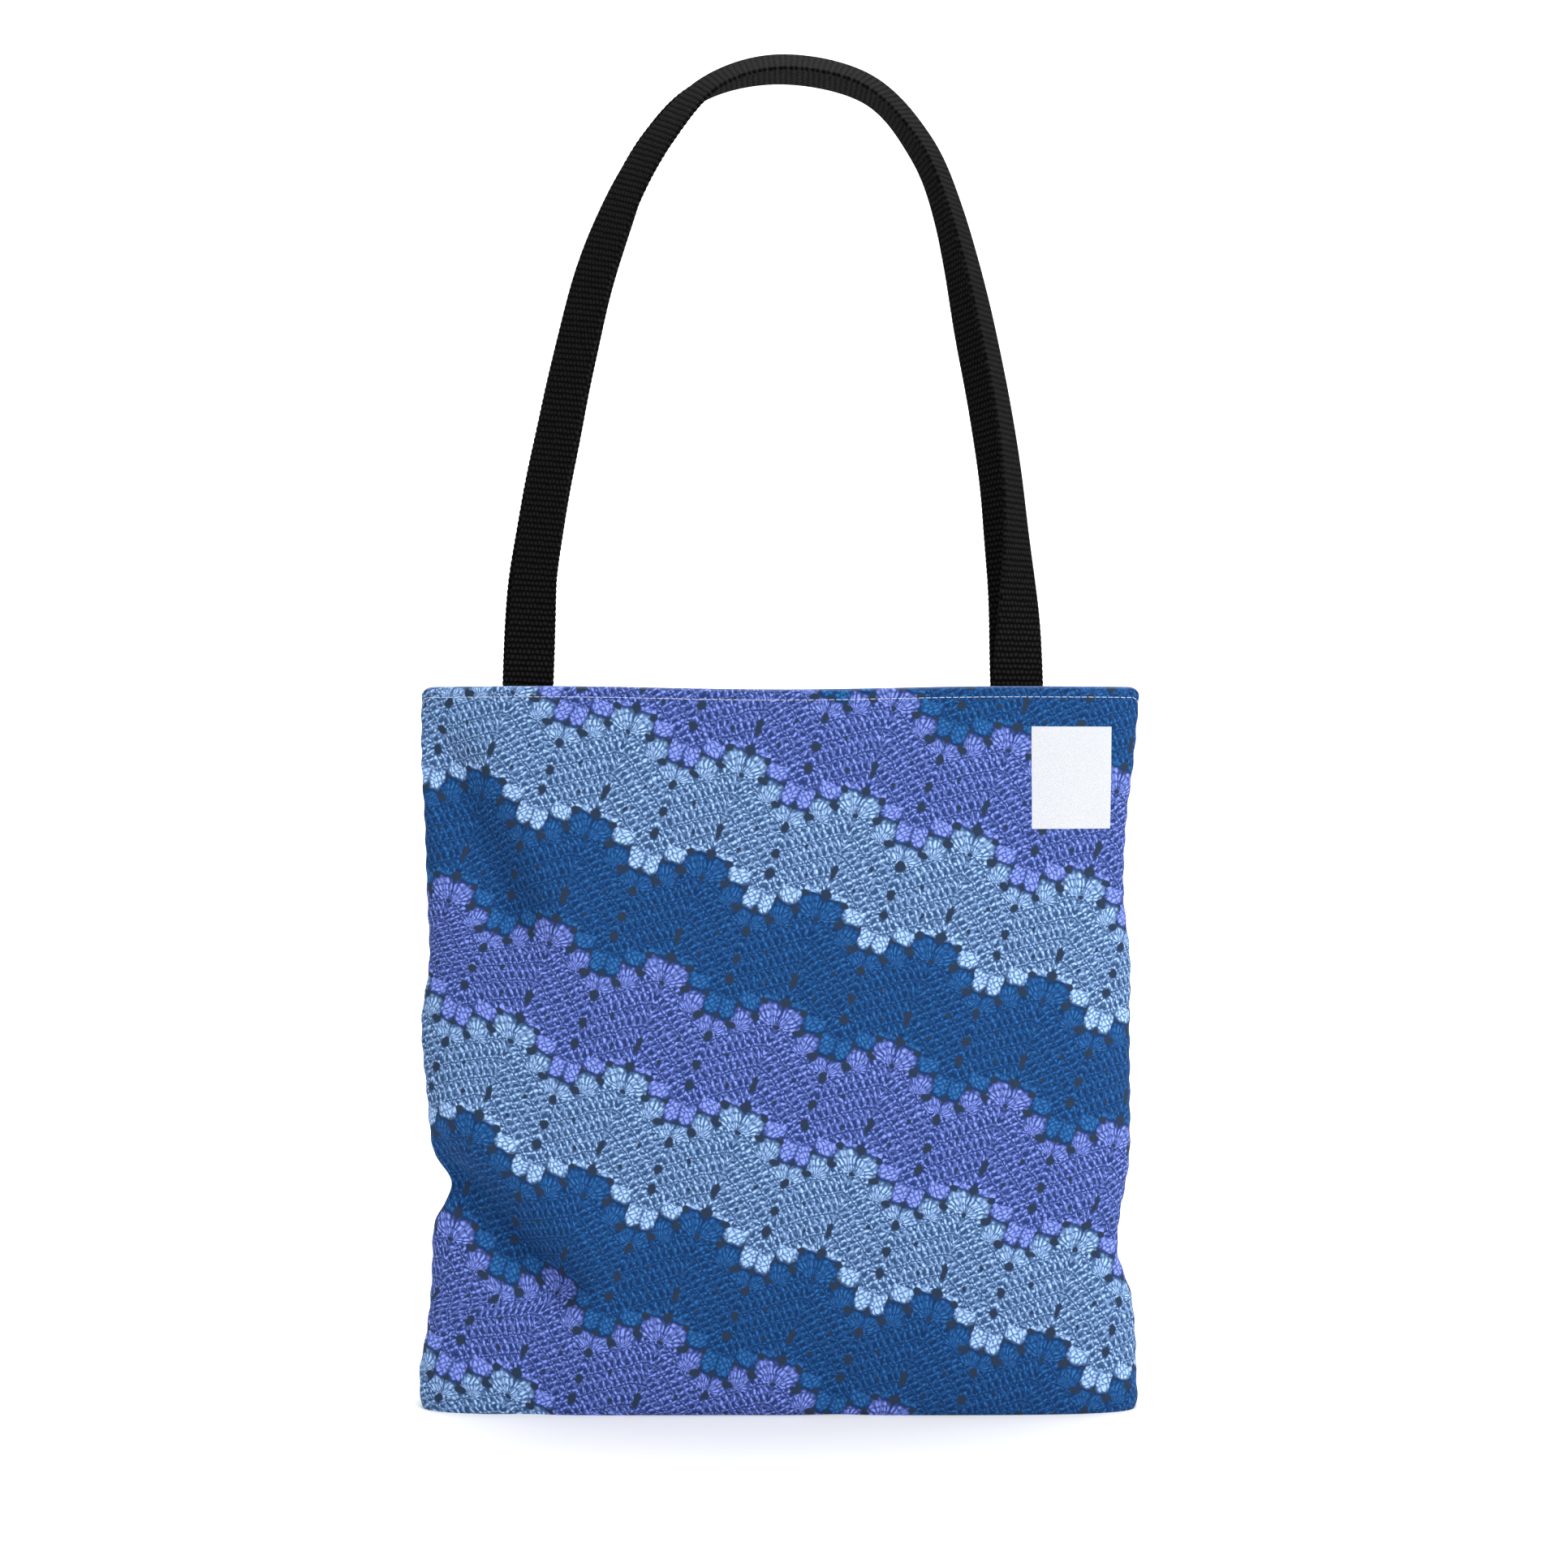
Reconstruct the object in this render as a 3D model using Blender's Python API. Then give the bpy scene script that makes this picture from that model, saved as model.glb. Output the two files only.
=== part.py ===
"""A cloth tote bag that stands on its boxed base, with its two webbing straps held up in one arch.

The front and the back are one cloth panel each. Each panel is half of the bag: a wall, half of the
base and the hem turned in at the rim. They meet at the side seams and along the base. Metres, +Z up,
the origin on the floor under the middle of the bag, -Y towards whoever looks at the front.
"""

import math
from collections import namedtuple

import bmesh
import bpy
from mathutils import Vector

# Driving sizes of the bag
BAG_WIDTH = 0.330
BAG_HEIGHT = 0.332
BAG_DEPTH = 0.050
CLOTH = 0.0014
HEM_HEIGHT = 0.025
BASE_EDGE_RADIUS = 0.005
BASE_MIDDLE_RADIUS = 0.009
RIM_CORNER_RADIUS = 0.005
RIM_SAG = 0.0016

# Driving sizes of the straps
STRAP_WIDTH = 0.024
STRAP_THICKNESS = 0.0018
STRAP_SPREAD = 0.224
STRAP_RISE = 0.281
STRAP_TUCK = 0.022
STRAPS_APART_AT_TOP = 0.0265

# What the sewn pieces leave between them
SEAM_GAP = 0.0003
STRAP_GAP = 0.0003

# How finely the faceted solids follow the shape
COLUMNS = 40
LARGEST_ROW_SHARE = 0.055
SMALLEST_ROW_SHARE = 0.004
EDGE_STEPS = 3
BASE_STEPS = 2
STRAP_STEPS = 64
WELD_DISTANCE = 1e-6
TANGENT_STEP = 1e-3

# Level sections of the bag, from the floor up. height is a share of BAG_HEIGHT, left and right
# of half of BAG_WIDTH, front and back of half of BAG_DEPTH. squareness is the power of the
# rounded outline: 2 gives an ellipse, and more gives a squarer one.
Section = namedtuple("Section", "height left right front back squareness")
SECTIONS = (
    Section(0.000, 0.990, 0.980, 0.88, 0.88, 4.2),
    Section(0.020, 1.000, 0.990, 0.91, 0.91, 4.0),
    Section(0.060, 1.003, 0.988, 0.95, 0.95, 3.7),
    Section(0.110, 0.986, 0.986, 0.97, 0.97, 3.4),
    Section(0.165, 0.974, 0.974, 0.99, 1.00, 3.1),
    Section(0.216, 0.970, 0.940, 1.00, 1.00, 3.0),
    Section(0.257, 0.966, 0.941, 1.00, 1.00, 2.9),
    Section(0.285, 0.940, 0.949, 0.99, 1.00, 2.9),
    Section(0.308, 0.918, 0.958, 0.98, 1.00, 2.9),
    Section(0.330, 0.930, 0.966, 0.98, 1.00, 2.9),
    Section(0.357, 0.966, 0.972, 0.98, 0.99, 2.9),
    Section(0.440, 0.986, 0.973, 0.97, 0.98, 2.8),
    Section(0.537, 1.001, 0.972, 0.94, 0.95, 2.8),
    Section(0.623, 0.980, 0.974, 0.91, 0.91, 2.7),
    Section(0.715, 0.986, 0.956, 0.86, 0.86, 2.7),
    Section(0.817, 0.993, 0.964, 0.80, 0.80, 2.6),
    Section(0.898, 1.002, 0.984, 0.75, 0.75, 2.5),
    Section(1.000, 1.002, 1.002, 0.70, 0.70, 2.5),
)

# Creases in a panel, each along a straight line from one end to the other. across is a share of
# the half width there, -1 at the left seam and 1 at the right. sunk is the share of the local
# depth that the crease takes away, below 0 for a swelling, and reach is its half width as a
# share of BAG_HEIGHT.
Crease = namedtuple("Crease", "across_1 height_1 across_2 height_2 sunk reach")
FRONT_CREASES = (
    Crease(-0.97, 0.318, -0.62, 0.175, 0.34, 0.030),
    Crease(-0.80, 0.375, -0.52, 0.260, -0.08, 0.045),
    Crease(-0.92, 0.920, -0.76, 0.670, 0.20, 0.050),
    Crease(-0.70, 0.860, -0.50, 0.560, -0.06, 0.070),
    Crease(0.95, 0.228, 0.76, 0.238, 0.22, 0.030),
    Crease(0.90, 0.790, 0.55, 0.660, 0.10, 0.050),
    Crease(0.10, 0.080, 0.16, 0.020, 0.07, 0.035),
    Crease(-0.66, 0.075, -0.70, 0.015, 0.07, 0.035),
)
BACK_CREASES = (
    Crease(-0.96, 0.308, -0.70, 0.240, 0.15, 0.030),
    Crease(0.95, 0.228, 0.70, 0.280, 0.12, 0.035),
    Crease(-0.55, 0.780, 0.20, 0.640, 0.05, 0.060),
)

# The way of both straps, from the left rim over the top to the right rim. rise is a share of
# STRAP_RISE above the rim, front_x and back_x of half of STRAP_SPREAD. apart is 1 where a strap
# lies against its own panel and 0 where the two come together at the top. The twists, in
# degrees, turn a strap's inner edge out towards its own side of the bag.
Stop = namedtuple("Stop", "rise front_x back_x apart front_twist back_twist")
STRAP_WAY = (
    Stop(0.000, -1.026, -1.050, 1.00, 0, 0),
    Stop(0.110, -1.012, -1.040, 0.95, 14, 14),
    Stop(0.225, -0.984, -1.010, 0.86, 25, 25),
    Stop(0.420, -0.902, -0.926, 0.68, 29, 32),
    Stop(0.630, -0.784, -0.812, 0.47, 36, 42),
    Stop(0.770, -0.652, -0.700, 0.32, 43, 52),
    Stop(0.880, -0.490, -0.590, 0.20, 54, 64),
    Stop(0.965, -0.270, -0.400, 0.08, 76, 80),
    Stop(1.000, 0.010, -0.030, 0.00, 90, 98),
    Stop(0.970, 0.350, 0.340, 0.06, 88, 96),
    Stop(0.880, 0.585, 0.560, 0.14, 84, 78),
    Stop(0.770, 0.712, 0.688, 0.28, 74, 64),
    Stop(0.600, 0.822, 0.784, 0.48, 66, 54),
    Stop(0.400, 0.920, 0.880, 0.68, 64, 48),
    Stop(0.240, 0.958, 0.934, 0.84, 52, 34),
    Stop(0.110, 0.966, 0.966, 0.95, 28, 16),
    Stop(0.000, 0.962, 0.974, 1.00, 0, 0),
)

FRONT = -1
BACK = 1


def slope_at(rows, index, column, key):
    """The slope of one column there, from the rows on each side."""
    before, after = rows[max(index - 1, 0)], rows[min(index + 1, len(rows) - 1)]
    run = getattr(after, key) - getattr(before, key)
    return (getattr(after, column) - getattr(before, column)) / run


def section_at(height):
    """The section at a share of the bag's height, on smooth curves through the table's rows."""
    height = min(max(height, 0.0), 1.0)
    index = max(i for i, row in enumerate(SECTIONS[:-1]) if row.height <= height)
    low, high = SECTIONS[index], SECTIONS[index + 1]
    run = high.height - low.height
    t = (height - low.height) / run
    values = {"height": height}
    for column in Section._fields[1:]:
        start = slope_at(SECTIONS, index, column, "height") * run
        end = slope_at(SECTIONS, index + 1, column, "height") * run
        a, b = getattr(low, column), getattr(high, column)
        values[column] = (
            a * (2 * t**3 - 3 * t**2 + 1)
            + start * (t**3 - 2 * t**2 + t)
            + b * (3 * t**2 - 2 * t**3)
            + end * (t**3 - t**2)
        )
    return Section(**values)


def rim_height(x):
    """The rim's height above the floor: it sags between the straps and is rounded at the seams."""
    reach = STRAP_SPREAD / 2
    height = BAG_HEIGHT
    if abs(x) < reach:
        height -= RIM_SAG * math.cos(math.pi / 2 * x / reach) ** 2
    top = SECTIONS[-1]
    half_width = BAG_WIDTH / 2 * (top.left if x < 0 else top.right)
    past = abs(x) - (half_width - RIM_CORNER_RADIUS)
    if past > 0:
        share = min(past / RIM_CORNER_RADIUS, 1.0)
        height -= RIM_CORNER_RADIUS * (1 - math.sqrt(1 - share**2))
    return height


def crease_share(creases, across, height):
    """The share of the depth that is left there once every crease has taken its own."""
    left = 1.0
    for crease in creases:
        run_x = (crease.across_2 - crease.across_1) * BAG_WIDTH / 2
        run_z = (crease.height_2 - crease.height_1) * BAG_HEIGHT
        off_x = (across - crease.across_1) * BAG_WIDTH / 2
        off_z = (height - crease.height_1) * BAG_HEIGHT
        along = (off_x * run_x + off_z * run_z) / (run_x**2 + run_z**2)
        along = min(max(along, 0.0), 1.0)
        distance = math.hypot(off_x - along * run_x, off_z - along * run_z)
        left -= crease.sunk * math.exp(-((distance / (crease.reach * BAG_HEIGHT)) ** 2))
    return left


def panel_point(side, across, z, inset):
    """A point of a panel: across runs from -1 at the left seam to 1, inset is from its outer face."""
    height = z / BAG_HEIGHT
    section = section_at(height)
    half_width = BAG_WIDTH / 2 * (section.left if across < 0 else section.right) - inset
    half_depth = BAG_DEPTH / 2 * (section.front if side == FRONT else section.back) - inset
    power = section.squareness
    rounded = max(1 - abs(across) ** power, 0.0) ** (1 / power)
    creases = FRONT_CREASES if side == FRONT else BACK_CREASES
    depth = half_depth * rounded * crease_share(creases, across, height)
    return Vector((across * half_width, side * (depth + SEAM_GAP / 2), z))


def wall_rows():
    """The wall's rows, as shares of the way from the base's edge to the rim.

    They lie at the heights of the table's sections, with rows between those far apart.
    """
    heights = []
    for low, high in zip(SECTIONS, SECTIONS[1:]):
        steps = math.ceil((high.height - low.height) / LARGEST_ROW_SHARE)
        heights += [low.height + (high.height - low.height) * k / steps for k in range(steps)]
    start = BASE_MIDDLE_RADIUS / BAG_HEIGHT
    above = [height for height in heights if height > start + SMALLEST_ROW_SHARE]
    return [(height - start) / (1 - start) for height in [start, *above, 1.0]]


def column_profile(side, across):
    """One closed loop of points round a panel's wall, at one place across it.

    It runs out along the base's underside, round the base's edge, up the outer face, over the rim,
    down the hem and the inner face, and back along the inside of the base.
    """
    middle = math.cos(math.pi / 2 * across)
    edge = BASE_EDGE_RADIUS + (BASE_MIDDLE_RADIUS - BASE_EDGE_RADIUS) * middle
    rim = rim_height(across * BAG_WIDTH / 2)
    hem = rim - HEM_HEIGHT
    hem_row = 1 - HEM_HEIGHT / BAG_HEIGHT
    rows = wall_rows()
    on_hem = [row for row in rows if row > hem_row + SMALLEST_ROW_SHARE]
    below_hem = [row for row in rows if row < hem_row - SMALLEST_ROW_SHARE]

    def wall_point(row, inset):
        return panel_point(side, across, edge + (rim - edge) * row, inset)

    def base_row(share, z):
        point = panel_point(side, across, z, edge)
        seam = side * SEAM_GAP / 2
        return Vector((point.x, seam + (point.y - seam) * share, z))

    def corner(floor, radius, inset):
        points = []
        for k in range(EDGE_STEPS):
            turn = math.pi / 2 * k / EDGE_STEPS
            height = floor + radius * (1 - math.cos(turn))
            points.append(panel_point(side, across, height, inset + radius * (1 - math.sin(turn))))
        return points

    under = [base_row(k / BASE_STEPS, 0.0) for k in range(BASE_STEPS)]
    outer = [wall_point(row, 0.0) for row in rows]
    hem_face = [wall_point(row, 2 * CLOTH) for row in reversed(on_hem)]
    hem_edge = [panel_point(side, across, hem, inset) for inset in (2 * CLOTH, CLOTH)]
    inner = [wall_point(row, CLOTH) for row in reversed(below_hem)]
    inside = [base_row(k / BASE_STEPS, CLOTH) for k in reversed(range(BASE_STEPS))]
    return (
        under
        + corner(0.0, edge, 0.0)
        + outer
        + hem_face
        + hem_edge
        + inner
        + corner(CLOTH, edge - CLOTH, CLOTH)[::-1]
        + inside
    )


def cloth_panel(name, side, material):
    """The front or the back panel, as one solid between the two side seams."""
    mesh = bmesh.new()
    columns = []
    for i in range(COLUMNS + 1):
        across = math.sin(math.pi / 2 * (2 * i / COLUMNS - 1))
        columns.append([mesh.verts.new(point) for point in column_profile(side, across)])
    for one, other in zip(columns, columns[1:]):
        for k in range(len(one)):
            after = (k + 1) % len(one)
            mesh.faces.new((one[k], other[k], other[after], one[after]))
    mesh.faces.new(columns[0])
    mesh.faces.new(columns[-1])
    bmesh.ops.remove_doubles(mesh, verts=mesh.verts, dist=WELD_DISTANCE)
    bmesh.ops.dissolve_degenerate(mesh, edges=mesh.edges, dist=WELD_DISTANCE)
    return finished(name, mesh, material)


def strap_stops(side):
    """The strap's way as (x, rise above the rim, apart, twist) at each row of its table."""
    half = STRAP_SPREAD / 2
    return [
        (
            half * (stop.front_x if side == FRONT else stop.back_x),
            stop.rise * STRAP_RISE,
            stop.apart,
            math.radians(stop.front_twist if side == FRONT else stop.back_twist),
        )
        for stop in STRAP_WAY
    ]


def smooth_between(stops, t):
    """The values at t from 0 to 1 along the stops, on a smooth curve through all of them."""
    place = t * (len(stops) - 1)
    index = min(int(place), len(stops) - 2)
    s = place - index
    p0, p1 = stops[max(index - 1, 0)], stops[index]
    p2, p3 = stops[index + 1], stops[min(index + 2, len(stops) - 1)]
    return [
        0.5 * (2 * b + (c - a) * s + (2 * a - 5 * b + 4 * c - d) * s**2 + (3 * b - a - 3 * c + d) * s**3)
        for a, b, c, d in zip(p0, p1, p2, p3)
    ]


def seat_on_hem(side, x, z):
    """Where a strap lies on the hem there: its middle's Y, and how far it turns to lie flat."""
    inset = 2 * CLOTH
    ends = []
    for edge in (x - STRAP_WIDTH / 2, x + STRAP_WIDTH / 2):
        section = section_at(z / BAG_HEIGHT)
        half_width = BAG_WIDTH / 2 * (section.left if edge < 0 else section.right) - inset
        ends.append(abs(panel_point(side, edge / half_width, z, inset).y))
    depth = sum(ends) / 2 - STRAP_GAP - STRAP_THICKNESS / 2
    turn = math.atan2(abs(ends[1] - ends[0]), STRAP_WIDTH)
    return depth, turn


def strap_frame(side, stops, t):
    """The strap's middle at t, with the unit vectors across its width and through its cloth."""
    x, rise, apart, twist = smooth_between(stops, t)
    ahead = smooth_between(stops, min(t + TANGENT_STEP, 1.0))
    behind = smooth_between(stops, max(t - TANGENT_STEP, 0.0))
    along = Vector((ahead[0] - behind[0], 0.0, ahead[1] - behind[1])).normalized()
    foot = stops[0] if t < 0.5 else stops[-1]
    seat, turn = seat_on_hem(side, foot[0], BAG_HEIGHT)
    top = STRAPS_APART_AT_TOP / 2
    middle = Vector((x, side * (top + (seat - top) * apart), BAG_HEIGHT + rise))
    inward = Vector((along.z, 0.0, -along.x))
    angle = twist + turn * apart
    across = inward * math.cos(angle) + Vector((0.0, side, 0.0)) * math.sin(angle)
    return middle, across, along.cross(across).normalized()


def strap_foot(side, stop, tuck):
    """The same for the flat end sewn to the hem, a tuck below the rim."""
    x = stop[0]
    depth, turn = seat_on_hem(side, x, BAG_HEIGHT - tuck)
    towards_middle = -math.copysign(1.0, x)
    across = Vector((towards_middle * math.cos(turn), side * math.sin(turn), 0.0))
    along = Vector((0.0, 0.0, towards_middle))
    return Vector((x, side * depth, BAG_HEIGHT - tuck)), across, along.cross(across).normalized()


def strap_section(mesh, middle, across, through):
    """The four corners of the webbing's cross-section."""
    half_width, half_thickness = STRAP_WIDTH / 2, STRAP_THICKNESS / 2
    corners = ((-1, -1), (1, -1), (1, 1), (-1, 1))
    return [
        mesh.verts.new(middle + across * (half_width * a) + through * (half_thickness * b))
        for a, b in corners
    ]


def strap(name, side, material):
    """One strap of flat webbing, from its sewn end at the left over the arch to that at the right."""
    mesh = bmesh.new()
    stops = strap_stops(side)
    tucks = (STRAP_TUCK, STRAP_TUCK / 2)
    frames = [strap_foot(side, stops[0], tuck) for tuck in tucks]
    frames += [strap_frame(side, stops, k / STRAP_STEPS) for k in range(STRAP_STEPS + 1)]
    frames += [strap_foot(side, stops[-1], tuck) for tuck in reversed(tucks)]
    rings = [strap_section(mesh, *frame) for frame in frames]
    for one, other in zip(rings, rings[1:]):
        for k in range(4):
            after = (k + 1) % 4
            mesh.faces.new((one[k], one[after], other[after], other[k]))
    mesh.faces.new(rings[0])
    mesh.faces.new(rings[-1])
    return finished(name, mesh, material)


def finished(name, mesh, material):
    """The object for a mesh, with its faces turned out."""
    bmesh.ops.recalc_face_normals(mesh, faces=mesh.faces)
    data = bpy.data.meshes.new(name)
    mesh.to_mesh(data)
    mesh.free()
    data.materials.append(material)
    data.shade_smooth()
    data.set_sharp_from_angle(angle=math.radians(40))
    piece = bpy.data.objects.new(name, data)
    bpy.context.scene.collection.objects.link(piece)
    return piece


def principled(name, colour, roughness):
    """A plain cloth material, its colour linear."""
    material = bpy.data.materials.new(name)
    material.use_nodes = True
    shader = material.node_tree.nodes["Principled BSDF"]
    shader.inputs["Base Color"].default_value = (*colour, 1.0)
    shader.inputs["Roughness"].default_value = roughness
    shader.inputs["Metallic"].default_value = 0.0
    return material


def main():
    for piece in list(bpy.data.objects):
        bpy.data.objects.remove(piece, do_unlink=True)
    cloth_panel("front_panel", FRONT, principled("front_cloth", (0.13, 0.26, 0.62), 0.8))
    cloth_panel("back_panel", BACK, principled("back_cloth", (0.13, 0.26, 0.62), 0.8))
    strap("front_strap", FRONT, principled("front_webbing", (0.012, 0.012, 0.013), 0.85))
    strap("back_strap", BACK, principled("back_webbing", (0.012, 0.012, 0.013), 0.85))


main()
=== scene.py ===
"""A printed cloth tote bag with its hem stitching and its two webbing straps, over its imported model.

The print is a crochet ripple: stripes of shells, stitches and bobbles in three yarn colours that run
in a zigzag across the cloth. Metres, +Z up, the front of the bag towards -Y.
"""

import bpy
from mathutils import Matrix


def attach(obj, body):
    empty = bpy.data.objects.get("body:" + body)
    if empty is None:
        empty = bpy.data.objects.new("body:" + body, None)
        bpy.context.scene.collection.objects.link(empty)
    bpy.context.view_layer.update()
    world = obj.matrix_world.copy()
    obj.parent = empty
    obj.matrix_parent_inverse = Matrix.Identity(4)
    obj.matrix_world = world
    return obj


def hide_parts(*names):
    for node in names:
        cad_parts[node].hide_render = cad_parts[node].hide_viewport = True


bl_info = {
    "name": "Tote bag",
    "version": (1, 0, 0),
    "blender": (4, 5, 0),
    "location": "3D View > Sidebar > Tote bag",
    "description": "Builds a printed cloth tote bag, its hem stitching and its webbing straps",
    "category": "Object",
}

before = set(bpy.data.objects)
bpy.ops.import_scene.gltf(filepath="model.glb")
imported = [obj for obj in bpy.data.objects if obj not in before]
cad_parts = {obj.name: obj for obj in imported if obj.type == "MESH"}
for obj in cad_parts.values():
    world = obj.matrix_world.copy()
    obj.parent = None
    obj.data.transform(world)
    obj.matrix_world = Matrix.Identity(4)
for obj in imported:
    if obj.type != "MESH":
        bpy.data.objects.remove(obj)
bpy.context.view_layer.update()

import math
from collections import namedtuple

import bmesh
import bpy
import numpy as np
from mathutils import Matrix, Vector

FRONT = -1
BACK = 1

# Level sections of the bag, as shares of its height, half its width and half its depth
SECTIONS = np.array((
    # height, left, right, front, back, squareness
    (0.000, 0.990, 0.980, 0.88, 0.88, 4.2),
    (0.020, 1.000, 0.990, 0.91, 0.91, 4.0),
    (0.060, 1.003, 0.988, 0.95, 0.95, 3.7),
    (0.110, 0.986, 0.986, 0.97, 0.97, 3.4),
    (0.165, 0.974, 0.974, 0.99, 1.00, 3.1),
    (0.216, 0.970, 0.940, 1.00, 1.00, 3.0),
    (0.257, 0.966, 0.941, 1.00, 1.00, 2.9),
    (0.285, 0.940, 0.949, 0.99, 1.00, 2.9),
    (0.308, 0.918, 0.958, 0.98, 1.00, 2.9),
    (0.330, 0.930, 0.966, 0.98, 1.00, 2.9),
    (0.357, 0.966, 0.972, 0.98, 0.99, 2.9),
    (0.440, 0.986, 0.973, 0.97, 0.98, 2.8),
    (0.537, 1.001, 0.972, 0.94, 0.95, 2.8),
    (0.623, 0.980, 0.974, 0.91, 0.91, 2.7),
    (0.715, 0.986, 0.956, 0.86, 0.86, 2.7),
    (0.817, 0.993, 0.964, 0.80, 0.80, 2.6),
    (0.898, 1.002, 0.984, 0.75, 0.75, 2.5),
    (1.000, 1.002, 1.002, 0.70, 0.70, 2.5),
))

# Creases: from one end to the other as a share of the half width and of the height, the share of
# the depth that each takes away, and half its width as a share of the height
Crease = namedtuple("Crease", "across_1 height_1 across_2 height_2 sunk reach")
CREASES = {
    FRONT: (
        Crease(-0.97, 0.318, -0.62, 0.175, 0.34, 0.030),
        Crease(-0.80, 0.375, -0.52, 0.260, -0.08, 0.045),
        Crease(-0.92, 0.920, -0.76, 0.670, 0.20, 0.050),
        Crease(-0.70, 0.860, -0.50, 0.560, -0.06, 0.070),
        Crease(0.95, 0.228, 0.76, 0.238, 0.22, 0.030),
        Crease(0.90, 0.790, 0.55, 0.660, 0.10, 0.050),
        Crease(0.10, 0.080, 0.16, 0.020, 0.07, 0.035),
        Crease(-0.66, 0.075, -0.70, 0.015, 0.07, 0.035),
    ),
    BACK: (
        Crease(-0.96, 0.308, -0.70, 0.240, 0.15, 0.030),
        Crease(0.95, 0.228, 0.70, 0.280, 0.12, 0.035),
        Crease(-0.55, 0.780, 0.20, 0.640, 0.05, 0.060),
    ),
}

# Fine folds on top of them, in metres: ends, how deep (below 0 a ridge) and half the width
Fold = namedtuple("Fold", "x_1 z_1 x_2 z_2 depth reach")
FOLDS = {
    FRONT: (
        Fold(-0.160, 0.118, -0.100, 0.060, 0.0066, 0.0090),
        Fold(-0.150, 0.142, -0.086, 0.080, -0.0028, 0.0095),
        Fold(-0.158, 0.302, -0.122, 0.230, 0.0056, 0.0115),
        Fold(-0.134, 0.305, -0.100, 0.226, -0.0020, 0.0120),
        Fold(-0.112, 0.212, -0.090, 0.172, 0.0006, 0.0110),
        Fold(0.076, 0.196, 0.112, 0.214, 0.0006, 0.0120),
        Fold(0.060, 0.186, 0.020, 0.120, 0.0004, 0.0120),
        Fold(0.150, 0.084, 0.128, 0.092, 0.0009, 0.0070),
        Fold(0.140, 0.268, 0.160, 0.240, 0.0007, 0.0090),
        Fold(-0.040, 0.300, -0.060, 0.270, 0.0004, 0.0100),
        Fold(0.052, 0.306, 0.070, 0.262, 0.0003, 0.0090),
    ),
    BACK: (
        Fold(-0.150, 0.110, -0.100, 0.086, 0.0012, 0.0080),
        Fold(0.152, 0.082, 0.110, 0.100, 0.0011, 0.0080),
        Fold(-0.050, 0.260, 0.040, 0.205, 0.0006, 0.0120),
        Fold(0.120, 0.290, 0.140, 0.210, 0.0007, 0.0110),
        Fold(-0.130, 0.280, -0.112, 0.200, 0.0007, 0.0110),
    ),
}

# The straps' way: rise above the rim as a share, half spreads front and back as shares, how near
# each strap is to its own panel, and its twist in degrees
STRAP_WAY = (
    # rise, front_x, back_x, apart, front_twist, back_twist
    (0.000, -1.026, -1.050, 1.00, 0, 0),
    (0.110, -1.012, -1.040, 0.95, 14, 14),
    (0.225, -0.984, -1.010, 0.86, 25, 25),
    (0.418, -0.902, -0.922, 0.68, 29, 32),
    (0.628, -0.784, -0.798, 0.47, 34, 44),
    (0.770, -0.652, -0.676, 0.32, 40, 58),
    (0.886, -0.480, -0.540, 0.20, 48, 74),
    (0.970, -0.270, -0.340, 0.08, 56, 86),
    (1.000, 0.010, -0.010, 0.00, 58, 88),
    (0.972, 0.340, 0.350, 0.06, 60, 84),
    (0.884, 0.570, 0.568, 0.14, 64, 74),
    (0.770, 0.704, 0.692, 0.28, 66, 64),
    (0.598, 0.822, 0.784, 0.48, 64, 54),
    (0.398, 0.920, 0.880, 0.68, 62, 48),
    (0.239, 0.958, 0.934, 0.84, 52, 34),
    (0.110, 0.966, 0.966, 0.95, 28, 16),
    (0.000, 0.962, 0.974, 1.00, 0, 0),
)

# The back strap's arch is a little higher than the front one's
BACK_RISE = 1.010

# How finely the cloth is modelled: faces across, and faces along each stretch of its length
CLOTH_COLUMNS = 190
BASE_ROWS = 10
EDGE_ROWS = 7
WALL_ROWS = 196
FOLD_ROWS = 6
HEM_ROWS = 15
STRAP_ROWS = 1120
STRAP_COLUMNS = 10

# Stitches: a thread dives into the cloth at both ends
STITCH_PITCH = 0.0031
STITCH_SHOWN = 0.0025
THREAD_RADIUS = 0.00017
HEM_LINE = 0.0050

# The flat cut's map: where the middle of the panel at floor level lies in it, in metres
CUT_MAP = "flat_cut"
CUT_MIDDLE = 0.20
CUT_FLOOR = 0.06
SEWN = "sewn_edges"

# The print on the cut, in millimetres and degrees. Its own point of origin lies at PRINT_AT.
PRINT_AT = (-0.0007, 0.1840)
PRINT_TURN = 19.84
RIPPLE = 54.7
STRIPE = 50.6
LEG_FALL = 0.747
LEG_DEGREES = 36.76
FIRST_PEAK = 0.764
SHELL_TOP = 5.49
SHELL_STEP = 8.2
CELL_ENDS = (10.0, 20.4)
ROW = 10.12
STITCH = 3.2

# Holes between the stitches: across from the peak's line, down from the shell's top, and half
# the width and height of each, in millimetres
Hole = namedtuple("Hole", "x y half_width half_height")
HOLES = (
    Hole(0.0, -1.2, 2.5, 2.4),
    Hole(9.2, 0.9, 1.9, 1.7),
    Hole(10.2, 10.0, 2.5, 1.7),
    Hole(19.4, 18.0, 2.6, 1.8),
    Hole(27.35, 25.8, 2.0, 2.5),
    Hole(27.35, 38.9, 2.0, 2.5),
    Hole(27.35, 48.7, 2.3, 2.3),
    Hole(0.0, 38.7, 1.4, 4.2),
    Hole(0.0, 10.7, 1.3, 1.0),
    Hole(15.6, 31.0, 0.9, 1.0),
    Hole(11.0, 43.2, 0.9, 1.1),
)

# Where the plain white patch is printed: its left, right, bottom and top on the cut, in metres
PATCH = (0.1138, 0.1512, 0.2672, 0.3136)

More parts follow.
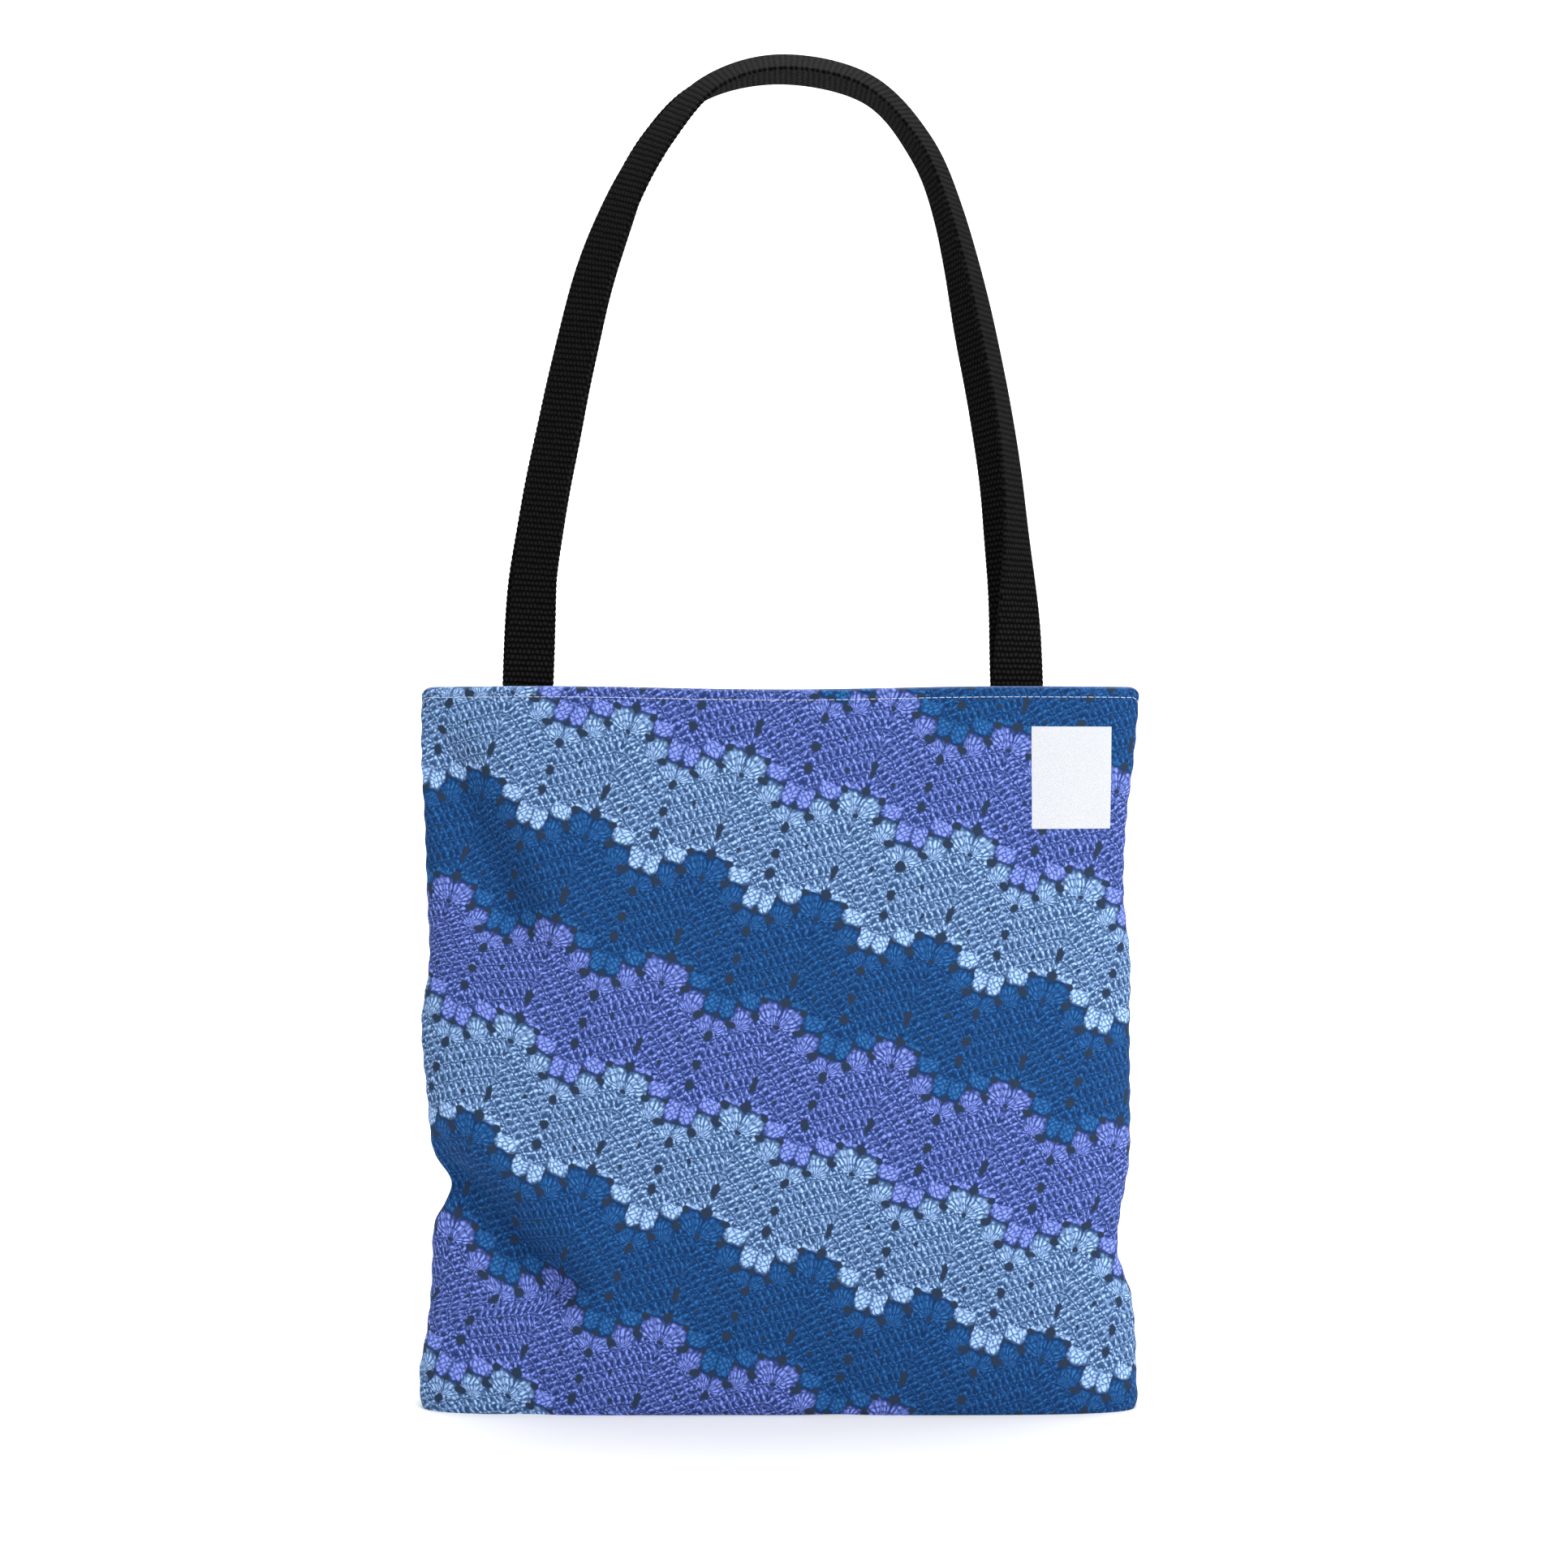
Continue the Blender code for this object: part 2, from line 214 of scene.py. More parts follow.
# Pulled by the dents, the print at the left seam is a little higher than it was laid out
PRINT_PULL = 0.0075


# ---- the settings that a user would change ----


def shade_of(hex_colour):
    """An sRGB hex colour as the linear colour that Blender works in."""
    value = hex_colour.lstrip("#")
    shares = [int(value[k:k + 2], 16) / 255 for k in (0, 2, 4)]
    return tuple(s / 12.92 if s <= 0.04045 else ((s + 0.055) / 1.055) ** 2.4 for s in shares)


class ToteBagSizes(bpy.types.PropertyGroup):
    """The bag's driving sizes."""

    width: bpy.props.FloatProperty(
        name="Width", description="Width of the bag at its mouth", default=0.330, min=0.2, max=0.6, unit="LENGTH")
    height: bpy.props.FloatProperty(
        name="Height", description="Height of the rim above the floor", default=0.332, min=0.2, max=0.6, unit="LENGTH")
    depth: bpy.props.FloatProperty(
        name="Depth", description="Depth of the bag where it is fullest", default=0.050, min=0.02, max=0.2, unit="LENGTH")
    wall: bpy.props.FloatProperty(
        name="Wall", description="Room that one layer of cloth takes", default=0.0014, min=0.0005, max=0.003, unit="LENGTH")
    cloth: bpy.props.FloatProperty(
        name="Cloth", description="Thickness of one layer of cloth", default=0.0012, min=0.0004, max=0.003, unit="LENGTH")
    hem: bpy.props.FloatProperty(
        name="Hem", description="Height of the turned-in hem", default=0.025, min=0.01, max=0.05, unit="LENGTH")
    base_edge: bpy.props.FloatProperty(
        name="Base edge", description="Radius of the base's edge at the seams", default=0.005, min=0.002, max=0.02, unit="LENGTH")
    base_middle: bpy.props.FloatProperty(
        name="Base middle", description="Radius of the base's edge in the middle", default=0.009, min=0.002, max=0.02, unit="LENGTH")
    rim_corner: bpy.props.FloatProperty(
        name="Rim corner", description="Radius of the rim at the seams", default=0.005, min=0.002, max=0.02, unit="LENGTH")
    rim_sag: bpy.props.FloatProperty(
        name="Rim sag", description="How far the rim sags between the straps", default=0.0016, min=0.0, max=0.01, unit="LENGTH")


class ToteStrapSizes(bpy.types.PropertyGroup):
    """The straps' driving sizes."""

    width: bpy.props.FloatProperty(
        name="Width", description="Width of the webbing", default=0.024, min=0.01, max=0.05, unit="LENGTH")
    thickness: bpy.props.FloatProperty(
        name="Thickness", description="Thickness of the webbing", default=0.0018, min=0.001, max=0.004, unit="LENGTH")
    spread: bpy.props.FloatProperty(
        name="Spread", description="Distance between a strap's two ends", default=0.224, min=0.1, max=0.3, unit="LENGTH")
    rise: bpy.props.FloatProperty(
        name="Rise", description="Height of the straps' arch above the rim", default=0.2832, min=0.1, max=0.4, unit="LENGTH")
    tuck: bpy.props.FloatProperty(
        name="Tuck", description="How much of each end is sewn inside the hem", default=0.022, min=0.01, max=0.04, unit="LENGTH")
    apart_at_top: bpy.props.FloatProperty(
        name="Apart at the top", description="Distance between the straps at the top", default=0.0265, min=0.01, max=0.08, unit="LENGTH")
    rib: bpy.props.FloatProperty(
        name="Rib", description="Spacing of the ribs across the webbing", default=0.0026, min=0.0008, max=0.004, unit="LENGTH")


class ToteColours(bpy.types.PropertyGroup):
    """The yarn colours of the print, and those of the webbing and the threads."""

    pale: bpy.props.FloatVectorProperty(
        name="Pale yarn", description="Light blue stripes", default=shade_of("#9DBEEF"), subtype="COLOR", min=0, max=1)
    deep: bpy.props.FloatVectorProperty(
        name="Deep yarn", description="Deep blue stripes", default=shade_of("#20548F"), subtype="COLOR", min=0, max=1)
    violet: bpy.props.FloatVectorProperty(
        name="Violet yarn", description="Violet stripes", default=shade_of("#7D8EE1"), subtype="COLOR", min=0, max=1)
    gap: bpy.props.FloatVectorProperty(
        name="Gap", description="Holes between the stitches", default=shade_of("#243349"), subtype="COLOR", min=0, max=1)
    patch: bpy.props.FloatVectorProperty(
        name="Patch", description="The plain patch and the unprinted inside", default=shade_of("#C8CBD0"), subtype="COLOR", min=0, max=1)
    webbing: bpy.props.FloatVectorProperty(
        name="Webbing", description="The straps' cotton", default=shade_of("#0A0A0B"), subtype="COLOR", min=0, max=1)
    thread: bpy.props.FloatVectorProperty(
        name="Hem thread", description="The stitches round the rim", default=shade_of("#D3DBEF"), subtype="COLOR", min=0, max=1)


# ---- one layer of cloth, wrapped round its half of the bag ----


def sections_at(height):
    """Left, right, front, back and squareness at each height share, on smooth curves."""
    keys = SECTIONS[:, 0]
    last = len(keys) - 1
    before = SECTIONS[np.maximum(np.arange(last + 1) - 1, 0)]
    after = SECTIONS[np.minimum(np.arange(last + 1) + 1, last)]
    slopes = (after - before)[:, 1:] / (after - before)[:, :1]
    height = np.clip(height, 0.0, 1.0)
    low = np.clip(np.searchsorted(keys, height, side="right") - 1, 0, last - 1)
    run = (keys[low + 1] - keys[low])[..., None]
    t = (height - keys[low])[..., None] / run
    return (
        SECTIONS[low, 1:] * (2 * t**3 - 3 * t**2 + 1)
        + slopes[low] * run * (t**3 - 2 * t**2 + t)
        + SECTIONS[low + 1, 1:] * (3 * t**2 - 2 * t**3)
        + slopes[low + 1] * run * (t**3 - t**2)
    )


def distance_to_line(x, z, start, end):
    """Distance of each point to the stretch between two points."""
    run_x, run_z = end[0] - start[0], end[1] - start[1]
    along = ((x - start[0]) * run_x + (z - start[1]) * run_z) / (run_x**2 + run_z**2)
    along = np.clip(along, 0.0, 1.0)
    return np.hypot(x - start[0] - along * run_x, z - start[1] - along * run_z)


def crease_share(bag, side, across, height):
    """The share of the depth that is left once every crease has taken its own."""
    left = np.ones_like(across)
    for c in CREASES[side]:
        half, tall = bag.width / 2, bag.height
        away = distance_to_line(
            across * half, height * tall, (c.across_1 * half, c.height_1 * tall), (c.across_2 * half, c.height_2 * tall))
        left -= c.sunk * np.exp(-((away / (c.reach * tall)) ** 2))
    return left


def fold_depth(side, x, z):
    """How far the fine folds and the cloth's own unevenness push it in, in metres."""
    depth = np.zeros_like(x)
    for f in FOLDS[side]:
        away = distance_to_line(x, z, (f.x_1, f.z_1), (f.x_2, f.z_2))
        depth += f.depth * np.exp(-((away / f.reach) ** 2))
    swell = np.sin(61 * x + 37 * z + side) * np.sin(83 * z - 29 * x + 1.3)
    swell += 0.6 * np.sin(118 * x - 64 * z + 2.1) * np.sin(97 * z + 51 * x + side)
    return depth + 0.00022 * swell


def panel_points(bag, side, across, z, inset):
    """Points of a panel: across runs from -1 at the left seam to 1, inset is from its outer face."""
    height = z / bag.height
    left, right, front, back, power = np.moveaxis(sections_at(height), -1, 0)
    half_width = bag.width / 2 * np.where(across < 0, left, right) - inset
    half_depth = bag.depth / 2 * (front if side == FRONT else back)
    rounded = np.maximum(1 - np.abs(across) ** power, 0.0) ** (1 / power)
    kept = rounded * crease_share(bag, side, across, height)
    x = across * half_width
    # the hem lies its full inset behind the wall, also where a crease leaves little depth
    behind = np.maximum(half_depth * kept - inset, 0.0)
    depth = np.where(z > bag.height / 2, behind, (half_depth - inset) * kept)
    fade = np.clip((1 - np.abs(across)) / 0.055, 0, 1) * np.clip(z / 0.012, 0, 1) * np.clip((bag.height - z) / 0.02, 0.15, 1)
    # a fold never takes more than half of the depth, so the two panels stay apart at the seams
    depth = depth - np.minimum(fade * fold_depth(side, x, z), 0.5 * depth)
    pucker = np.exp(-(((1 - np.abs(across)) / 0.012) ** 2)) * np.sin(z * 2 * math.pi / 0.0115)
    x = x - np.sign(across) * 0.00025 * (1 + pucker) * np.exp(-(((1 - np.abs(across)) / 0.02) ** 2))
    return np.stack([x, side * (depth + 0.00015), z], axis=-1)


def rim_heights(bag, strap, x):
    """The rim's height above the floor: it sags between the straps and is rounded at the seams."""
    reach = strap.spread / 2
    height = bag.height - np.where(
        np.abs(x) < reach, bag.rim_sag * np.cos(math.pi / 2 * np.clip(x / reach, -1, 1)) ** 2, 0)
    top = SECTIONS[-1]
    half_width = bag.width / 2 * np.where(x < 0, top[1], top[2])
    past = np.clip((np.abs(x) - (half_width - bag.rim_corner)) / bag.rim_corner, 0, 1)
    return height - bag.rim_corner * (1 - np.sqrt(1 - past**2))


def wrapped_sheet(bag, strap, side):
    """The sheet's outer face row by row, from the seam under the base over the rim to the raw edge.

    Gives the points, their place on the flat cut, and their distances to the seam, rim and base.
    """
    across = np.sin(math.pi / 2 * np.linspace(-1, 1, CLOTH_COLUMNS + 1))
    edge = bag.base_edge + (bag.base_middle - bag.base_edge) * np.cos(math.pi / 2 * across)
    rim = rim_heights(bag, strap, across * bag.width / 2)
    zero = np.zeros_like(across)
    turn_down = bag.wall
    rows, cut, below = [], [], []
    under = panel_points(bag, side, across, zero, edge)
    seam = side * 0.00015
    for k in range(BASE_ROWS):
        share = k / BASE_ROWS
        row = under.copy()
        row[:, 1] = seam + (under[:, 1] - seam) * share
        rows.append(row)
        cut.append(edge - math.pi / 2 * edge - (1 - share) * np.abs(under[:, 1] - seam))
        below.append(rim)
    for k in range(EDGE_ROWS):
        turn = math.pi / 2 * k / EDGE_ROWS
        height = edge * (1 - math.cos(turn))
        rows.append(panel_points(bag, side, across, height, edge * (1 - math.sin(turn))))
        cut.append(edge - edge * (math.pi / 2 - turn))
        below.append(rim - height)
    for k in range(WALL_ROWS + 1):
        height = edge + (rim - turn_down - edge) * k / WALL_ROWS
        rows.append(panel_points(bag, side, across, height, zero))
        cut.append(height)
        below.append(rim - height)
    for k in range(1, FOLD_ROWS + 1):
        turn = math.pi * k / FOLD_ROWS
        height = rim - turn_down + turn_down * math.sin(turn)
        rows.append(panel_points(bag, side, across, height, zero + turn_down * (1 - math.cos(turn))))
        cut.append(rim - turn_down + turn_down * turn)
        below.append(rim - height)
    for k in range(1, HEM_ROWS + 1):
        down = (bag.hem - turn_down) * k / HEM_ROWS
        height = rim - turn_down - down
        rows.append(panel_points(bag, side, across, height, zero + 2 * turn_down))
        cut.append(rim - turn_down + turn_down * math.pi + down)
        below.append(rim - height)
    points = np.stack(rows)
    wall = slice(BASE_ROWS + EDGE_ROWS, BASE_ROWS + EDGE_ROWS + WALL_ROWS + 1)
    steps = np.linalg.norm(np.diff(points[wall][:, :, :2], axis=1), axis=2)
    length = np.concatenate([np.zeros((steps.shape[0], 1)), np.cumsum(steps, axis=1)], axis=1)
    length -= length[:, CLOTH_COLUMNS // 2:CLOTH_COLUMNS // 2 + 1]
    low = np.repeat(length[:1], BASE_ROWS + EDGE_ROWS, axis=0)
    high = np.repeat(length[-1:], FOLD_ROWS + HEM_ROWS, axis=0)
    flat_x = np.concatenate([low, length, high])
    flat_z = np.stack(cut)
    if side == FRONT:
        near = np.clip((-across - 0.55) / 0.40, 0, 1) * np.clip((0.235 - flat_z) / 0.04, 0, 1)
        flat_z = flat_z - PRINT_PULL * near * near * (3 - 2 * near)
    seams = np.minimum(flat_x - flat_x[:, :1], flat_x[:, -1:] - flat_x)
    return points, flat_x, flat_z, seams, np.stack(below)


def bag_panel(name, side, bag, strap, outside, inside):
    """One panel: a grid laid onto the bag's form as a sheet, thickened inwards to its cloth."""
    points, flat_x, flat_z, seams, below = wrapped_sheet(bag, strap, side)
    tall, wide = flat_x.shape
    bpy.ops.object.select_all(action="DESELECT")
    bpy.ops.mesh.primitive_grid_add(x_subdivisions=wide - 1, y_subdivisions=tall - 1, size=1.0)
    panel = bpy.context.object
    panel.name = panel.data.name = name
    mesh = panel.data
    if len(mesh.vertices) != tall * wide:
        raise RuntimeError(f"{name}: the grid has {len(mesh.vertices)} points, not {tall * wide}")
    mesh.vertices.foreach_set("co", points.reshape(-1, 3).ravel())
    while mesh.uv_layers:
        mesh.uv_layers.remove(mesh.uv_layers[0])
    layer = mesh.uv_layers.new(name=CUT_MAP)
    corner = np.empty(len(mesh.loops), dtype=np.int64)
    mesh.loops.foreach_get("vertex_index", corner)
    flat = np.stack([side * -flat_x.ravel() + CUT_MIDDLE, flat_z.ravel() + CUT_FLOOR], axis=1)
    layer.data.foreach_set("uv", flat[corner].astype(np.float32).ravel())
    sewn = mesh.attributes.new(SEWN, "FLOAT_VECTOR", "POINT")
    off_base = points[:, :, 2]
    sewn.data.foreach_set("vector", np.stack([seams, below, off_base], axis=-1).astype(np.float32).ravel())
    mesh.update()
    normals = np.empty(len(mesh.polygons) * 3)
    mesh.polygons.foreach_get("normal", normals)
    if normals[1::3].sum() * side < 0:
        mesh.flip_normals()
    mesh.materials.append(outside)
    mesh.materials.append(inside)
    layer_of_cloth = panel.modifiers.new("cloth", "SOLIDIFY")
    layer_of_cloth.thickness = bag.cloth
    layer_of_cloth.offset = -1.0
    layer_of_cloth.material_offset = 1
    layer_of_cloth.material_offset_rim = 0
    bpy.ops.object.modifier_apply(modifier=layer_of_cloth.name)
    bpy.ops.object.shade_smooth_by_angle(angle=math.radians(50))
    return panel


# ---- the straps ----


def between_stops(stops, t):
    """The values at t from 0 to 1 along the stops, on a smooth curve through all of them."""
    place = t * (len(stops) - 1)
    index = min(int(place), len(stops) - 2)
    s = place - index
    p0, p1 = stops[max(index - 1, 0)], stops[index]
    p2, p3 = stops[index + 1], stops[min(index + 2, len(stops) - 1)]
    return [
        0.5 * (2 * b + (c - a) * s + (2 * a - 5 * b + 4 * c - d) * s**2 + (3 * b - a - 3 * c + d) * s**3)
        for a, b, c, d in zip(p0, p1, p2, p3)
    ]


def seat_on_hem(bag, strap, side, x, z):
    """Where a strap lies on the hem there: its middle's distance from the seam plane and its turn."""
    inset = 2 * bag.wall
    depths = []
    for edge in (x - strap.width / 2, x + strap.width / 2):
        left, right, front, back, power = sections_at(np.array(z / bag.height))
        half_width = bag.width / 2 * (left if edge < 0 else right) - inset
        half_depth = bag.depth / 2 * (front if side == FRONT else back)
        share = np.array([edge / half_width])
        rounded = max(1 - abs(share[0]) ** power, 0.0) ** (1 / power)
        kept = crease_share(bag, side, share, np.array([z / bag.height]))[0]
        depths.append(half_depth * rounded * kept - inset + 0.00015)
    depth = sum(depths) / 2 - 0.0003 - strap.thickness / 2
    return depth, math.atan2(abs(depths[1] - depths[0]), strap.width)


def strap_frames(bag, strap, side):
    """Middle, across and through vectors along a strap, evenly spaced by its own length."""
    half = strap.spread / 2
    x_column, twist_column = (1, 4) if side == FRONT else (2, 5)
    rise = strap.rise * (1.0 if side == FRONT else BACK_RISE)
    stops = [(half * row[x_column], row[0] * rise, row[3], math.radians(row[twist_column])) for row in STRAP_WAY]
    seats = [seat_on_hem(bag, strap, side, stop[0], bag.height) for stop in (stops[0], stops[-1])]
    top = strap.apart_at_top / 2

    def on_arch(t):
        x, rise, apart, twist = between_stops(stops, t)
        ahead = between_stops(stops, min(t + 1e-3, 1.0))
        behind = between_stops(stops, max(t - 1e-3, 0.0))
        along = Vector((ahead[0] - behind[0], 0.0, ahead[1] - behind[1])).normalized()
        seat, turn = seats[0] if t < 0.5 else seats[1]
        middle = Vector((x, side * (top + (seat - top) * apart), bag.height + rise))
        inward = Vector((along.z, 0.0, -along.x))
        angle = twist + turn * apart
        across = inward * math.cos(angle) + Vector((0.0, side, 0.0)) * math.sin(angle)
        return middle, across, along.cross(across).normalized()

    def on_hem(stop, tuck):
        x = stop[0]
        depth, turn = seat_on_hem(bag, strap, side, x, bag.height - tuck)
        inwards = -math.copysign(1.0, x)
        across = Vector((inwards * math.cos(turn), side * math.sin(turn), 0.0))
        along = Vector((0.0, 0.0, inwards))
        return Vector((x, side * depth, bag.height - tuck)), across, along.cross(across).normalized()

    tucks = np.linspace(strap.tuck, 0.0, 9)[:-1]
    coarse = [on_hem(stops[0], tuck) for tuck in tucks]
    coarse += [on_arch(t) for t in np.linspace(0, 1, 401)]
    coarse += [on_hem(stops[-1], tuck) for tuck in tucks[::-1]]
    table = np.array([[*m, *a, *n] for m, a, n in coarse])
    for _ in range(2):
        table[1:-1, 3:] = (table[:-2, 3:] + 2 * table[1:-1, 3:] + table[2:, 3:]) / 4
    length = np.concatenate([[0.0], np.cumsum(np.linalg.norm(np.diff(table[:, :3], axis=0), axis=1))])
    even = np.linspace(0, length[-1], STRAP_ROWS + 1)
    smooth = np.stack([np.interp(even, length, column) for column in table.T], axis=1)
    middle, across, through = smooth[:, :3], smooth[:, 3:6], smooth[:, 6:]
    across /= np.linalg.norm(across, axis=1)[:, None]
    through -= across * np.sum(across * through, axis=1)[:, None]
    through /= np.linalg.norm(through, axis=1)[:, None]
    return middle, across, through, even


def webbing_strap(name, side, bag, strap, material):
    """One strap: a ribbon of grid laid along its way, thickened, its woven edges rounded."""
    middle, across, through, along = strap_frames(bag, strap, side)
    tall, wide = STRAP_ROWS + 1, STRAP_COLUMNS + 1
    bpy.ops.object.select_all(action="DESELECT")
    bpy.ops.mesh.primitive_grid_add(x_subdivisions=wide - 1, y_subdivisions=tall - 1, size=1.0)
    ribbon = bpy.context.object
    ribbon.name = ribbon.data.name = name
    mesh = ribbon.data
    if len(mesh.vertices) != tall * wide:
        raise RuntimeError(f"{name}: the grid has {len(mesh.vertices)} points, not {tall * wide}")
    shares = np.linspace(-1, 1, wide)
    rib = np.sin(along * 2 * math.pi / strap.rib)
    crown = 1 - 0.25 * shares**4
    wander = 0.00035 * np.sin(along * 47 + side) + 0.0002 * np.sin(along * 131 + 2)
    half = strap.width / 2 - 0.00035 + 0.00014 * rib
    points = (
        middle[:, None, :]
        + across[:, None, :] * (half[:, None, None] * shares[None, :, None] + wander[:, None, None] * 0.5)
        + through[:, None, :] * (0.00006 * rib[:, None, None] * crown[None, :, None])
    )
    mesh.vertices.foreach_set("co", points.reshape(-1, 3).ravel())
    while mesh.uv_layers:
        mesh.uv_layers.remove(mesh.uv_layers[0])
    layer = mesh.uv_layers.new(name=CUT_MAP)
    corner = np.empty(len(mesh.loops), dtype=np.int64)
    mesh.loops.foreach_get("vertex_index", corner)
    flat = np.stack(
        [np.broadcast_to(shares * strap.width / 2 + 0.05, (tall, wide)), np.broadcast_to(along[:, None], (tall, wide))],
        axis=-1).reshape(-1, 2)
    layer.data.foreach_set("uv", flat[corner].astype(np.float32).ravel())
    mesh.update()
    mesh.materials.append(material)
    woven = ribbon.modifiers.new("webbing", "SOLIDIFY")
    woven.thickness = strap.thickness - 0.00015
    woven.offset = 0.0
    bpy.ops.object.modifier_apply(modifier=woven.name)
    edges = ribbon.modifiers.new("edges", "BEVEL")
    edges.width = 0.00055
    edges.segments = 2
    edges.limit_method = "ANGLE"
    edges.angle_limit = math.radians(60)
    bpy.ops.object.modifier_apply(modifier=edges.name)
    bpy.ops.object.shade_smooth_by_angle(angle=math.radians(70))
    return ribbon


# ---- the stitches ----


def laid_stitches(name, places, material):
    """One stitch, a thread pointed at both ends, copied to each place (middle, along, outward)."""
    bpy.ops.object.select_all(action="DESELECT")
    bpy.ops.mesh.primitive_cylinder_add(vertices=6, radius=THREAD_RADIUS, depth=STITCH_SHOWN * 0.7)
    row = bpy.context.object
    row.name = row.data.name = name
    bpy.ops.object.mode_set(mode="EDIT")
    shape = bmesh.from_edit_mesh(row.data)
    ends = [face for face in shape.faces if abs(face.normal.z) > 0.9]
    for face in shape.faces:
        face.select_set(face in ends)
    bpy.ops.mesh.inset(thickness=THREAD_RADIUS * 0.45, depth=STITCH_SHOWN * 0.15, use_individual=True)
    bpy.ops.object.mode_set(mode="OBJECT")
    one = row.data.copy()
    joined = bmesh.new()
    for middle, along, outward in places:
        side_way = along.cross(outward).normalized()
        out = side_way.cross(along).normalized()
        place = Matrix((
            (side_way.x, out.x, along.x, middle.x),
            (side_way.y, out.y, along.y, middle.y),
            (side_way.z, out.z, along.z, middle.z),
            (0, 0, 0, 1)))
        copy = one.copy()
        copy.transform(place)
        joined.from_mesh(copy)
        bpy.data.meshes.remove(copy)
    bmesh.ops.recalc_face_normals(joined, faces=joined.faces)
    joined.to_mesh(row.data)
    joined.free()
    bpy.data.meshes.remove(one)
    row.data.materials.clear()
    row.data.materials.append(material)
    bpy.ops.object.shade_smooth_by_angle(angle=math.radians(60))
    return row


def hem_places(bag, strap, side):
    """The hem's line of stitches, on the outer face and on the turned-in one."""
    places = []
    fine = np.sin(math.pi / 2 * np.linspace(-1, 1, 1201))
    rim = rim_heights(bag, strap, fine * bag.width / 2)
    for inset, sign in ((0.0, 1), (2 * bag.wall, -1)):
        line = panel_points(bag, side, fine, rim - HEM_LINE, np.full_like(fine, inset))
        length = np.concatenate([[0], np.cumsum(np.linalg.norm(np.diff(line, axis=0), axis=1))])
        count = int((length[-1] - 0.004) / STITCH_PITCH)
        for k in range(count):
            start = 0.002 + (length[-1] - 0.004) * (k + 0.5) / count
            here = Vector([np.interp(start, length, line[:, c]) for c in range(3)])
            ahead = Vector([np.interp(start + 0.001, length, line[:, c]) for c in range(3)])
            along = (ahead - here).normalized()
            along = (along + Vector((0, 0, 0.035 * math.sin(k * 2.4)))).normalized()
            outward = along.cross(Vector((0, 0, 1))) * 1.0
            if outward.y * side * sign < 0:
                outward = -outward
            places.append((here + outward * (THREAD_RADIUS * 0.25), along, outward))
    return places


def strap_end_places(bag, strap, side):
    """A stitched box with a cross in it at each end of a strap, on the face inside the bag."""
    middle, across, through, along = strap_frames(bag, strap, side)
    places = []
    total = along[-1]
    for first, last in ((0.0025, strap.tuck - 0.0060), (total - strap.tuck + 0.0060, total - 0.0025)):
        half = strap.width / 2 - 0.0030
        corners = [(-half, first), (half, first), (half, last), (-half, last), (-half, first), (half, last)]
        corners += [None, (half, first), (-half, last)]
        for one, other in zip(corners, corners[1:]):
            if one is None or other is None:
                continue
            run = math.hypot(other[0] - one[0], other[1] - one[1])
            count = max(int(run / STITCH_PITCH), 1)
            for k in range(count):
                t = (k + 0.5) / count
                u, v = one[0] + (other[0] - one[0]) * t, one[1] + (other[1] - one[1]) * t
                row = int(np.clip(np.searchsorted(along, v), 1, len(along) - 2))
                m, a, n = Vector(middle[row]), Vector(across[row]), Vector(through[row])
                way = (Vector(middle[row + 1]) - Vector(middle[row - 1])).normalized()
                inside = n if n.y * side < 0 else -n
                step = (a * (other[0] - one[0]) + way * (other[1] - one[1])).normalized()
                places.append((m + a * u + inside * (strap.thickness / 2 + 0.00005), step, inside))
    return places


# ---- the materials ----


def put(tree, kind, *values, at=None, stops=None, **settings):
    """Adds a node with its settings, and links or sets its inputs, in order or by name."""
    made = tree.nodes.new("ShaderNode" + kind)
    for name, value in settings.items():
        setattr(made, name, value)
    if stops:
        ramp = made.color_ramp
        while len(ramp.elements) < len(stops):
            ramp.elements.new(0.5)
        for element, (place, colour) in zip(ramp.elements, stops):
            element.position, element.color = place, (*colour, 1.0)
    open_inputs = [socket for socket in made.inputs if socket.enabled]
    pairs = list(zip(open_inputs, values)) + [(made.inputs[name], value) for name, value in (at or {}).items()]
    for socket, value in pairs:
        if isinstance(value, bpy.types.Node):
            value = next(output for output in value.outputs if output.enabled)
        if isinstance(value, bpy.types.NodeSocket):
            tree.links.new(value, socket)
        elif value is not None:
            socket.default_value = value
    return made


def new_material(name):
    """An empty node material, its shader and its output."""
    material = bpy.data.materials.new(name)
    material.use_nodes = True
    tree = material.node_tree
    tree.nodes.clear()
    shader = put(tree, "BsdfPrincipled")
    put(tree, "OutputMaterial", shader)
    return material, tree, shader


def tones(colour, shares):
    """Darker and lighter tones of one yarn: (place, factor, bluer) become ramp stops."""
    return [
        (place, tuple(min(c * factor * (1 + cool * k / 2), 1.0) for k, c in enumerate(colour)))
        for place, factor, cool in shares
    ]


